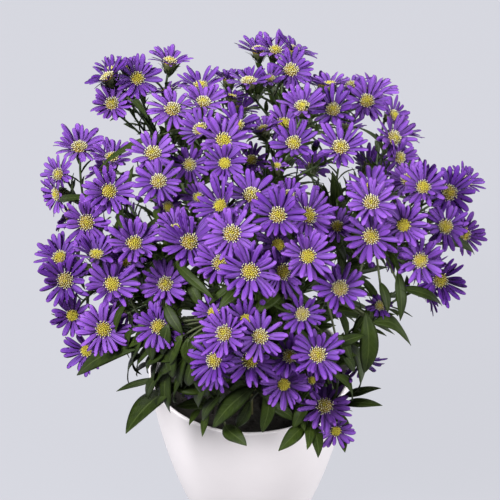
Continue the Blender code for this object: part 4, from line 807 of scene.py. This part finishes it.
def makeStalks(bundles):
    look = greenLook
    for k, stem in enumerate(stems):
        t = np.linspace(0.0, 1.0, look["stemStations"])[:, None]
        radius = np.linspace(stemPlan["footRadius"], stemPlan["topRadius"], look["stemStations"])
        radius = radius * (1.0 + 0.07 * np.sin(t[:, 0] * look["joints"]) ** 8)
        rings = tubes(bezier(*stem, t)[None], radius[None], look["stemSides"])
        gather(bundles[k], rings, 0, t[None], 0.0, 0.5 - 0.5 * t[None])
    for i, path in enumerate(stalks):
        radius = stemPlan["stalkRadius"] * np.linspace(1.25, 1.35, look["stalkStations"])[None]
        rings = tubes(stalkCurve(path, look["stalkStations"]), radius, look["stalkSides"])
        gather(bundles[owner[i]], rings, 0, 1.0, 0.0, 0.0)
        u = np.linspace(0.0, 1.0, 7)
        bell = (path[-2] + (centres[i] - normals[i] * 0.0006 - path[-2]) * u[:, None])[None]
        wide = bellRadius(u, 0.98 * cupSize(radii[i]))[None]
        gather(bundles[owner[i]], tubes(bell, wide, look["cupSides"]), 0, 1.0, 0.0, 0.3)


def makeBracts(bundles):  # pointed scales round each cup, in two rows, their tips bent outwards
    rng = np.random.default_rng(greenLook["seed"])
    number, t = greenLook["bracts"], greenLook["bractStations"]
    q = np.array((-1.0, 0.0, 1.0, 0.0))
    lift = np.array((0.0, 0.00018, 0.0, -0.00022))
    for i, facing in enumerate(normals):
        size = cupSize(radii[i])
        angle = np.arange(number) * 4.0 * math.pi / number + rng.uniform(-0.1, 0.1, number)
        out = turned(angle, acrossWays[i], overWays[i])
        low = np.where(np.arange(number) < number // 2, 0.15, 0.5) + rng.uniform(-0.05, 0.08, number)
        length = greenLook["bractLength"] * size * rng.uniform(0.8, 1.2, number)
        climb = low[:, None] * stemPlan["cupLength"] * size + length[:, None] * t * 0.85
        curl = 0.30 * t + 0.50 * t ** 3 * rng.uniform(0.3, 1.3, number)[:, None]
        flare = bellRadius(low, size)[:, None] + 0.0004 + length[:, None] * curl
        foot = centres[i] - facing * (stemPlan["cupTop"] + stemPlan["cupLength"] * size)
        spine = foot + out[:, None] * flare[..., None] + facing * climb[..., None]
        half = (greenLook["bractWidth"] * size * greenLook["bractShape"])[None]
        rings = strips(spine, np.cross(out, facing), out, np.zeros((number, len(t))), half, q, lift)
        gather(bundles[owner[i]], rings[:, :, ::-1], 1, 0.75 * t[None, :, None], q[::-1], 0.35)


# Leaves. The midline arches over the run from base to tip, the outline is a lance, the two halves rise from
# a sunk midrib and their edges wave a little, and the underside has the midrib as a keel.

leafLook = {
    "stations": 19, "thick": 0.00038, "fold": 0.16, "wave": 0.05, "sway": 0.02, "roll": 0.22, "seed": 17,
    "across": np.array((-1.0, -0.66, -0.3, 0.0, 0.3, 0.66, 1.0, 0.5, 0.0, -0.5)),
    "under": np.array((0.0, 0.0, 0.0, 0.0, 0.0, 0.0, 0.0, 1.0, 2.1, 1.0)),
}


def leafRings(base, tip, width, arch, face, rng):  # all leaves at once; base, tip and face are copies x 3
    many = len(base)
    run = tip - base
    length = np.linalg.norm(run, axis=1)
    along = run / length[:, None]
    face = units(face - along * (face * along).sum(1, keepdims=True))
    side = np.cross(face, along)
    t = np.linspace(0.0, 1.0, leafLook["stations"])[None, :]
    curve = arch[:, None] * length[:, None] * 4.0 * t * (1.0 - t)
    sway = length * rng.normal(0.0, leafLook["sway"], many)
    spine = (base[:, None] + run[:, None] * t[..., None] + face[:, None] * curve[..., None]
             + side[:, None] * (sway[:, None] * np.sin(t * math.pi * 1.5))[..., None])
    shape = np.sin(math.pi * t ** 0.85) ** 0.8
    half = 0.5 * width[:, None] * np.maximum(shape, 0.04 + 0.09 * (1.0 - t))
    q = leafLook["across"]
    fold = leafLook["fold"] * rng.uniform(0.5, 1.6, many)
    roll = rng.normal(0.0, leafLook["roll"], many)[:, None] * t
    ripple = leafLook["wave"] * np.sin(t[..., None] * rng.uniform(8.0, 16.0, (many, 1, 1)) + 9.0 * q * q
                                       + rng.uniform(0.0, 6.0, (many, 1, 1)))
    lift = half[..., None] * (fold[:, None, None] * np.abs(q) ** 0.8 - 0.10 * q ** 4 + ripple * q * q)
    lift = lift - leafLook["under"] * leafLook["thick"] * (0.4 + 0.6 * shape[..., None])
    rings = strips(spine, side, face, roll, half, q, lift)
    return rings[:, :, ::-1], t[..., None], np.broadcast_to(q[::-1], rings.shape[:3])


def makeLeaves(bundles):  # the more there are of a kind, the fewer stations each of them has
    rng = np.random.default_rng(leafLook["seed"])
    for k, step in itertools.product(range(stemPlan["count"]), (1, 2, 3)):
        mine = [leaf for leaf in leaves if leaf[0] == k and leaf[6] == step]
        if not mine:
            continue
        base, tip, width, face = (np.array([leaf[j] for leaf in mine]) for j in (2, 3, 4, 5))
        rings, along, across = leafRings(base, tip, width, np.full(len(mine), leafPlan["arch"]), face, rng)
        tint = rng.uniform(0.0, 1.0, len(mine))[:, None, None]
        gather(bundles[k], rings[:, ::step], 1, along[:, ::step], across[:, ::step], tint)
        for stem, root, near, end, *rest in mine:
            on = near + unit(end - near) * 0.0015
            middle = 0.5 * (root + near) + upWay * 0.08 * np.linalg.norm(near - root)
            radius = np.linspace(0.0008, 0.00075, 7)[None]
            gather(bundles[k], tubes(bend(root, middle, on, 7), radius, 6), 0, 1.0, 0.0, 0.2)


# metres up each stem or stalk between leaflets, and their length and width in metres
leafletLook = {
    "stem": (0.0042, (0.018, 0.034), (0.0050, 0.0085)), "stalk": (0.0060, (0.009, 0.019), (0.0020, 0.0040)),
    "arch": (0.04, 0.16), "step": 3, "seed": 33,
}


def leafletsOn(curve, plan, rng):  # rows of base, tip, face and width, in a spiral up a curve
    step, length, width = plan
    rows = []
    run = np.concatenate(([0.0], np.cumsum(np.linalg.norm(np.diff(curve, axis=0), axis=1))))
    turn = rng.uniform(0.0, 6.0)
    for n, place in enumerate(np.arange(step * rng.uniform(0.3, 1.0), run[-1], step)):
        spot, ahead = (np.array([np.interp(at, run, curve[:, axis]) for axis in range(3)])
                       for at in (place, min(run[-1], place + 0.001)))
        along = unit(ahead - spot + 1e-9)
        aim = turned(turn + n * golden, *frameOf(along))
        size = rng.uniform(*length)
        tip = spot + unit(aim * rng.uniform(0.7, 1.2) + along * 0.8) * size
        rows.append((spot, tip, unit(along - aim * 0.4), rng.uniform(*width)))
    return rows


def makeSmallLeaves(bundles):  # the narrow leaves that crowd every stem and stalk
    rng = np.random.default_rng(leafletLook["seed"])
    step = leafletLook["step"]
    for k, stem in enumerate(stems):
        rows = leafletsOn(bezier(*stem, np.linspace(0.22, 0.97, 40)[:, None]), leafletLook["stem"], rng)
        for i in np.nonzero(owner == k)[0]:
            rows += leafletsOn(stalkCurve(stalks[i], 21)[0], leafletLook["stalk"], rng)
        base, tip, face, width = (np.array(column) for column in zip(*rows))
        many = len(rows)
        rings, way, across = leafRings(base, tip, width, rng.uniform(*leafletLook["arch"], many), face, rng)
        tint = rng.uniform(0.0, 0.8, many)[:, None, None]
        gather(bundles[k], rings[:, ::step], 1, way[:, ::step], across[:, ::step], tint)


# the folded rays: how far up and out their start and middle are, and their radii, as shares of the bud
budLook = {"rays": 9, "places": ((0.55, 0.12), (0.82, 0.15)), "radii": (0.10, 0.105, 0.09, 0.065, 0.03)}


def makeBuds(bundles, violets):  # a green egg of scales with the folded violet rays standing out of its tip
    for k, root, knee, neck, tip, outward, size in buds:
        rings = tubes(bend(root, knee, neck, 9), np.full((1, 9), stemPlan["stalkRadius"]), 6)
        gather(bundles[k], rings, 0, 1.0, 0.0, 0.1)
        u = np.linspace(0.0, 1.0, 9)
        path = (neck + (tip - neck) * (0.75 * u)[:, None])[None]
        wide = (size * 0.27 * np.sin((u * 0.9 + 0.06) * math.pi) ** 0.6)[None]
        gather(bundles[k], tubes(path, wide, 12), 1, 0.6, 0.3, 0.5)
        for n in range(budLook["rays"]):
            way = turned(n * 2.0 * math.pi / budLook["rays"], *frameOf(outward))
            start, middle = (neck + size * (outward * up + way * out) for up, out in budLook["places"])
            strip = bend(start, middle, tip + way * size * (0.03 + 0.05 * (n % 3)), 5)
            rings = tubes(strip, size * np.array(budLook["radii"])[None], 5)
            gather(violets[k], rings, 0, np.linspace(0, 1, 5)[None, :, None], 0.0, 0.35)


# Pot and soil. The pot is its profile turned round the upright axis: outside, rounded lip, inside and floor.

# the foot's edge is given by how far it lies inside the foot's radius, and its height
potLook = {
    "sides": 144, "rings": 26, "lowestRing": 0.010, "lipRise": 0.0014, "lipPoints": 8, "middle": 0.012,
    "footEdge": ((0.0022, 0.0), (0.0007, 0.0005), (0.0, 0.0018)),
}


def potRadius(height):
    down = pot["height"] - height
    foot = pot["rimRadius"] - pot["taper"] * pot["height"] - pot["footRadius"]
    return pot["rimRadius"] - pot["taper"] * down - foot * (down / pot["height"]) ** 2


def turnedRings(profile, sides):  # radius and height pairs, carried round
    angle = np.arange(sides) * 2.0 * math.pi / sides
    ring = np.stack((np.cos(angle), np.sin(angle), np.zeros(sides)), -1)
    return (profile[:, :1, None] * ring + profile[:, 1:, None] * upWay)[None]


def makePot(paint):
    look, wall, top = potLook, pot["wall"], pot["height"] - potLook["lipRise"]
    heights = np.linspace(look["lowestRing"], top - 0.0002, look["rings"])
    foot = [(0.0, 0.0), (look["middle"], 0.0)]
    foot += [(pot["footRadius"] - inside, h) for inside, h in look["footEdge"]]
    outer = [(potRadius(h), h) for h in heights]
    bow = np.linspace(0.0, math.pi, look["lipPoints"])[1:-1]
    lip = [(pot["rimRadius"] - wall / 2.0 * (1.0 - math.cos(a)), top + look["lipRise"] * math.sin(a))
           for a in bow]
    inner = [(potRadius(h) - wall, h) for h in heights[::-1]]
    base = [(pot["footRadius"] - wall - 0.001, pot["floor"]), (0.0, pot["floor"])]
    profile = np.array([(max(r, 0.0002), h) for r, h in foot + outer + lip + inner + base])
    bundle = newBundle()
    gather(bundle, turnedRings(profile, look["sides"]), 0, 0.0, 0.0, 0.5)
    piece("whitePot", bundle, [paint], ["pot"])


soilLook = {
    "sides": 96, "rings": 34, "ripples": 14, "turns": ((150, 900), (150, 900), (0, 6), (0, 6)),
    "rippleHeight": 0.00038, "gap": 0.0006,
    "crumbs": 420, "crumbSize": (0.0005, 0.0016), "seed": 3,
}


def makeSoil(paint):  # a crowned bed whose height is a sum of ripples, with loose crumbs on it
    look = soilLook
    rng = np.random.default_rng(look["seed"])
    edge = potRadius(soilTop) - pot["wall"] - look["gap"]
    low = potRadius(soilTop - soil["depth"]) - pot["wall"] - 2.0 * look["gap"]
    share = np.linspace(1.0, 0.004, look["rings"])[:, None]
    angle = np.arange(look["sides"]) * 2.0 * math.pi / look["sides"]
    x, y = edge * share * np.cos(angle), edge * share * np.sin(angle)
    ripples = [rng.uniform(*limits, look["ripples"]) for limits in look["turns"]]
    rough = sum(np.sin(x * a + p) * np.sin(y * b + q) for a, b, p, q in zip(*ripples))
    high = soilTop - 0.0018 + soil["swell"] * (1.0 - share ** 2) + look["rippleHeight"] * rough * (share < 0.99)
    foot = np.stack((low * np.cos(angle), low * np.sin(angle), 0.0 * angle + soilTop - soil["depth"]), -1)
    centre = foot * np.array((0.005, 0.005, 1.0))
    bundle = newBundle()
    bed = np.concatenate((centre[None], foot[None], np.stack((x, y, high), -1)))
    gather(bundle, bed[None], 0, 0.0, 0.0, 0.5)
    number = look["crumbs"]
    r = (edge - 0.003) * np.sqrt(rng.uniform(0.0, 1.0, number))
    a = rng.uniform(0.0, 2.0 * math.pi, number)
    size = rng.uniform(*look["crumbSize"], number)[:, None]
    level = soilTop - 0.0012 + soil["swell"] * (1.0 - (r / edge) ** 2)
    spot = np.stack((r * np.cos(a), r * np.sin(a), level), -1)
    t = np.linspace(-1.0, 1.0, 5)
    tilt = units(rng.normal(0.0, 1.0, (number, 3)))
    path = spot[:, None] + tilt[:, None] * (size * t)[..., None]
    wide = size * np.sqrt(np.maximum(0.05, 1.0 - t * t)) * rng.uniform(0.6, 1.0, (number, len(t)))
    gather(bundle, tubes(path, wide, 6), 0, 0.0, 0.0, rng.uniform(0.0, 1.0, number)[:, None, None])
    piece("pottingSoil", bundle, [paint], ["soil"])


# Finishes

class Finish:  # a small helper round one material's nodes

    def __init__(self, name, roughness, **settings):
        self.material = bpy.data.materials.new(name)
        self.material.use_nodes = True
        self.nodes = self.material.node_tree.nodes
        self.shader = self.nodes["Principled BSDF"]
        self.fill(self.shader, Roughness=roughness, **settings)

    def put(self, socket, value):  # a link from another node, or a number or colour of the socket's own
        if isinstance(value, bpy.types.NodeSocket):
            self.material.node_tree.links.new(value, socket)
        else:
            socket.default_value = (*value, 1.0) if isinstance(value, tuple) else value

    def fill(self, node, **settings):
        for key, value in settings.items():
            self.put(node.inputs[key.replace("_", " ")], value)
        return node

    def read(self, name):
        node = self.nodes.new("ShaderNodeAttribute")
        node.attribute_name = name
        return node.outputs["Fac"]

    def sum(self, how, *values):
        node = self.nodes.new("ShaderNodeMath")
        node.operation = how
        for socket, value in zip(node.inputs, values):
            self.put(socket, value)
        return node.outputs[0]

    def times(self, first, second):
        return self.sum("MULTIPLY", first, second)

    def ramp(self, fac, *stops):
        node = self.fill(self.nodes.new("ShaderNodeValToRGB"), Fac=fac)
        while len(node.color_ramp.elements) < len(stops):
            node.color_ramp.elements.new(0.5)
        for element, (place, *colour) in zip(node.color_ramp.elements, stops):
            element.position = place
            element.color = (*colour, 1.0)
        return node.outputs["Color"]

    def mix(self, how, fac, first, second):
        node = self.nodes.new("ShaderNodeMix")
        node.data_type = "RGBA"
        node.blend_type = how
        for place, value in ((0, fac), (6, first), (7, second)):
            self.put(node.inputs[place], value)
        return node.outputs[2]

    def noise(self, scale, detail):
        place = self.nodes.new("ShaderNodeTexCoord").outputs["Object"]
        node = self.nodes.new("ShaderNodeTexNoise")
        return self.fill(node, Vector=place, Scale=scale, Detail=detail).outputs["Fac"]

    def done(self, colour, height=None, distance=0.0, strength=1.0):  # its colour, and its relief if it has any
        self.fill(self.shader, Base_Color=colour)
        if height is not None:
            bump = self.nodes.new("ShaderNodeBump")
            self.fill(bump, Height=height, Strength=strength, Distance=distance)
            self.fill(self.shader, Normal=bump.outputs["Normal"])
        return self.material


def violetRay():
    look = Finish("violet ray", 0.52, Sheen_Weight=0.06, Sheen_Roughness=0.4, Sheen_Tint=(0.80, 0.65, 1.0),
                  Specular_IOR_Level=0.22)
    # The ramp over along is the rays' violet; its darkening towards the disc is painted shade at the ray's
    # root.
    base = look.ramp(look.read("along"), (0.0, 0.024, 0.003, 0.075), (0.25, 0.078, 0.012, 0.20),
                     (0.72, 0.142, 0.028, 0.335), (1.0, 0.225, 0.070, 0.425))
    # deep is a shaded copy and pale a lit copy of the violet; tint mixes them bloom by bloom as painted light
    # and shade.
    deep = look.mix("MULTIPLY", 1.0, base, (0.50, 0.35, 0.63))
    pale = look.mix("MIX", 0.15, base, (0.46, 0.26, 0.68))
    paintedBloomShade = look.mix("MIX", look.read("tint"), deep, pale)
    line = look.sum("SINE", look.times(look.read("across"), 14.0))
    ribs = look.sum("MULTIPLY_ADD", line, 0.5, 0.5)
    streak = look.mix("MULTIPLY", look.times(ribs, 0.55), paintedBloomShade, (0.45, 0.32, 0.66))
    grain = look.times(look.noise(900.0, 3.0), 0.16)
    return look.done(look.mix("MIX", grain, streak, (0.15, 0.035, 0.35)), ribs, 0.00012, 0.8)


def yellowFloret():
    look = Finish("yellow floret", 0.7)
    along = look.read("along")
    young = look.ramp(along, (0.0, 0.15, 0.11, 0.008), (0.6, 0.40, 0.32, 0.014), (1.0, 0.54, 0.49, 0.045))
    ripe = look.ramp(along, (0.0, 0.11, 0.07, 0.014), (0.4, 0.33, 0.27, 0.075), (0.8, 0.57, 0.55, 0.30),
                     (1.0, 0.66, 0.66, 0.48))
    both = look.mix("MIX", look.read("across"), young, ripe)      # across holds how far a floret has opened
    return look.done(look.mix("MULTIPLY", look.times(look.read("tint"), 0.45), both, (0.62, 0.52, 0.30)))


def discBed():
    look = Finish("disc bed", 0.85)
    return look.done(look.ramp(look.noise(1500.0, 2.0), (0.3, 0.13, 0.075, 0.010), (0.7, 0.34, 0.23, 0.02)))


def stemGreen():
    look = Finish("stem green", 0.6)
    base = look.ramp(look.noise(260.0, 3.0), (0.3, 0.018, 0.034, 0.008), (0.7, 0.042, 0.070, 0.016))
    brown = look.mix("MIX", look.read("tint"), base, (0.085, 0.050, 0.022))
    return look.done(brown, look.noise(1800.0, 2.0), 0.0002, 0.6)


def leafGreen():
    look = Finish("leaf green", 0.52, Specular_IOR_Level=0.15)
    cloud = look.noise(170.0, 4.0)
    dark = look.ramp(cloud, (0.25, 0.007, 0.013, 0.0012), (0.75, 0.016, 0.028, 0.0025))
    light = look.ramp(cloud, (0.25, 0.014, 0.026, 0.0025), (0.75, 0.031, 0.050, 0.005))
    blade = look.mix("MIX", look.read("tint"), dark, light)
    rib = look.sum("ABSOLUTE", look.read("across"))
    middle = look.sum("LESS_THAN", rib, 0.07)
    veins = look.sum("SINE", look.sum("SUBTRACT", look.times(look.read("along"), 62.0), look.times(rib, 11.0)))
    veins = look.sum("GREATER_THAN", veins, 0.93)
    pale = look.sum("MAXIMUM", look.times(middle, 0.55), look.times(veins, 0.16))
    ridge = look.sum("ADD", look.times(middle, -1.0), look.times(veins, -0.4))
    relief = look.sum("ADD", ridge, look.times(look.noise(900.0, 3.0), 0.5))
    return look.done(look.mix("MIX", pale, blade, (0.060, 0.084, 0.022)), relief, 0.00025, 0.7)


def whitePlastic():
    look = Finish("white pot", 0.48, Specular_IOR_Level=0.35)
    soft = look.ramp(look.noise(30.0, 3.0), (0.3, 0.865, 0.818, 0.848), (0.7, 0.89, 0.842, 0.872))
    return look.done(soft, look.noise(1400.0, 4.0), 0.00006, 0.35)


def darkSoil():
    look = Finish("potting soil", 0.95)
    base = look.ramp(look.noise(700.0, 5.0), (0.3, 0.0022, 0.0018, 0.0014), (0.75, 0.010, 0.007, 0.0045))
    crumb = look.mix("MIX", look.times(look.read("tint"), 0.25), base, (0.018, 0.012, 0.0075))
    return look.done(crumb, look.noise(900.0, 5.0), 0.0008)


def bloomNodes():  # the solid that holds each bloom, by the corner at its disc's top
    trees = {name: treeOf(cadPoints(name)) for name in bloomNames}
    tops = centres + normals * 0.0026
    return [min(bloomNames, key=lambda name: trees[name].find(top)[2]) for top in tops]


def makePlant():
    green, violet, yellow = ([newBundle() for stem in stems] for part in range(3))
    makeStalks(green)
    makeBracts(green)
    makeLeaves(green)
    makeSmallLeaves(green)
    makeBuds(green, violet)
    print("green parts made")
    node = bloomNodes()
    home = {name: int(owner[node.index(name)]) for name in node}      # a group goes with its first bloom's stem
    group = np.array([home[name] for name in node])
    flower, rings, along, across, tint, ripeness = makeRays()
    florets, dome = makeDiscs(ripeness)
    for k in range(stemPlan["count"]):
        mine = group[flower] == k
        gather(violet[k], rings[mine], 0, along[mine], across, tint[mine][:, None, None])
        own = group[florets[0]] == k
        gather(yellow[k], florets[1][own], 0, florets[2], florets[3][own], florets[4][own])
        gather(yellow[k], dome[group == k], 1, 0.0, 0.0, 0.5)
    print("rays", len(rings), "florets", len(florets[1]))
    greens, violets, yellows = [stemGreen(), leafGreen()], [violetRay()], [yellowFloret(), discBed()]
    for k in range(stemPlan["count"]):
        nodes = sorted({name for name in node if home[name] == k})
        piece("leafyStem%d" % (k + 1), green[k], greens, [stemNames[k]])
        if violet[k]["count"]:
            piece("rays%d" % (k + 1), violet[k], violets, nodes)
            piece("discs%d" % (k + 1), yellow[k], yellows, nodes)


makePot(whitePlastic())
makeSoil(darkSoil())
makePlant()
print("plant made")


# Floor, light and camera

stageLook = {
    "floor": (0.030, 0.030, 0.033), "glow": (0.644, 0.652, 0.708), "glowStrength": 0.95,
    "corners": ((-8.0, -8.0), (8.0, -8.0), (8.0, 8.0), (-8.0, 8.0)), "floorDrop": 0.0002,
    "world": (0.97, 0.96, 1.0), "worldStrength": 0.055, "aim": (0.0, 0.0, 0.22),
    # each light's place, size in metres and power in watts
    "lights": {"key light": ((-1.25, -1.0, 1.85), 1.1, 120.0), "fill light": ((1.75, -1.05, 1.0), 1.4, 60.0),
               "back light": ((0.2, 1.5, 1.5), 1.2, 32.0)},
}


def place(name, data, spot, turn=(0.0, 0.0, 0.0)):
    obj = bpy.data.objects.new(name, data)
    obj.location = spot
    obj.rotation_euler = turn
    bpy.context.scene.collection.objects.link(obj)
    return obj


def setStage():
    look = Finish("pale floor", 0.9, Specular_IOR_Level=0.0, Emission_Color=stageLook["glow"],
                  Emission_Strength=stageLook["glowStrength"])
    mesh = bpy.data.meshes.new("floor")
    mesh.from_pydata([(x, y, 0.0) for x, y in stageLook["corners"]], [], [(0, 1, 2, 3)])
    mesh.materials.append(look.done(stageLook["floor"]))
    floor = place("floor", mesh, (0.0, 0.0, -stageLook["floorDrop"]))
    floor.visible_diffuse = False      # so that its glow tints nothing
    world = bpy.data.worlds.new("studio")
    world.use_nodes = True
    background = world.node_tree.nodes["Background"]
    background.inputs["Color"].default_value = (*stageLook["world"], 1.0)
    background.inputs["Strength"].default_value = stageLook["worldStrength"]
    bpy.context.scene.world = world
    for name, (spot, size, power) in stageLook["lights"].items():
        data = bpy.data.lights.new(name, "AREA")
        data.shape = "DISK"
        data.size = size
        data.energy = power
        aim = Vector(stageLook["aim"]) - Vector(spot)
        place(name, data, spot, aim.to_track_quat("-Z", "Y").to_euler())
    bpy.context.scene.view_settings.view_transform = "Standard"


def setCamera():
    data = bpy.data.cameras.new("camera")
    data.sensor_width = sight["sensor"]
    data.lens = sight["lens"]
    bpy.context.scene.camera = place("camera", data, eye, (math.pi / 2.0 - sight["pitch"], 0.0, 0.0))


setStage()
setCamera()
print("stage set")
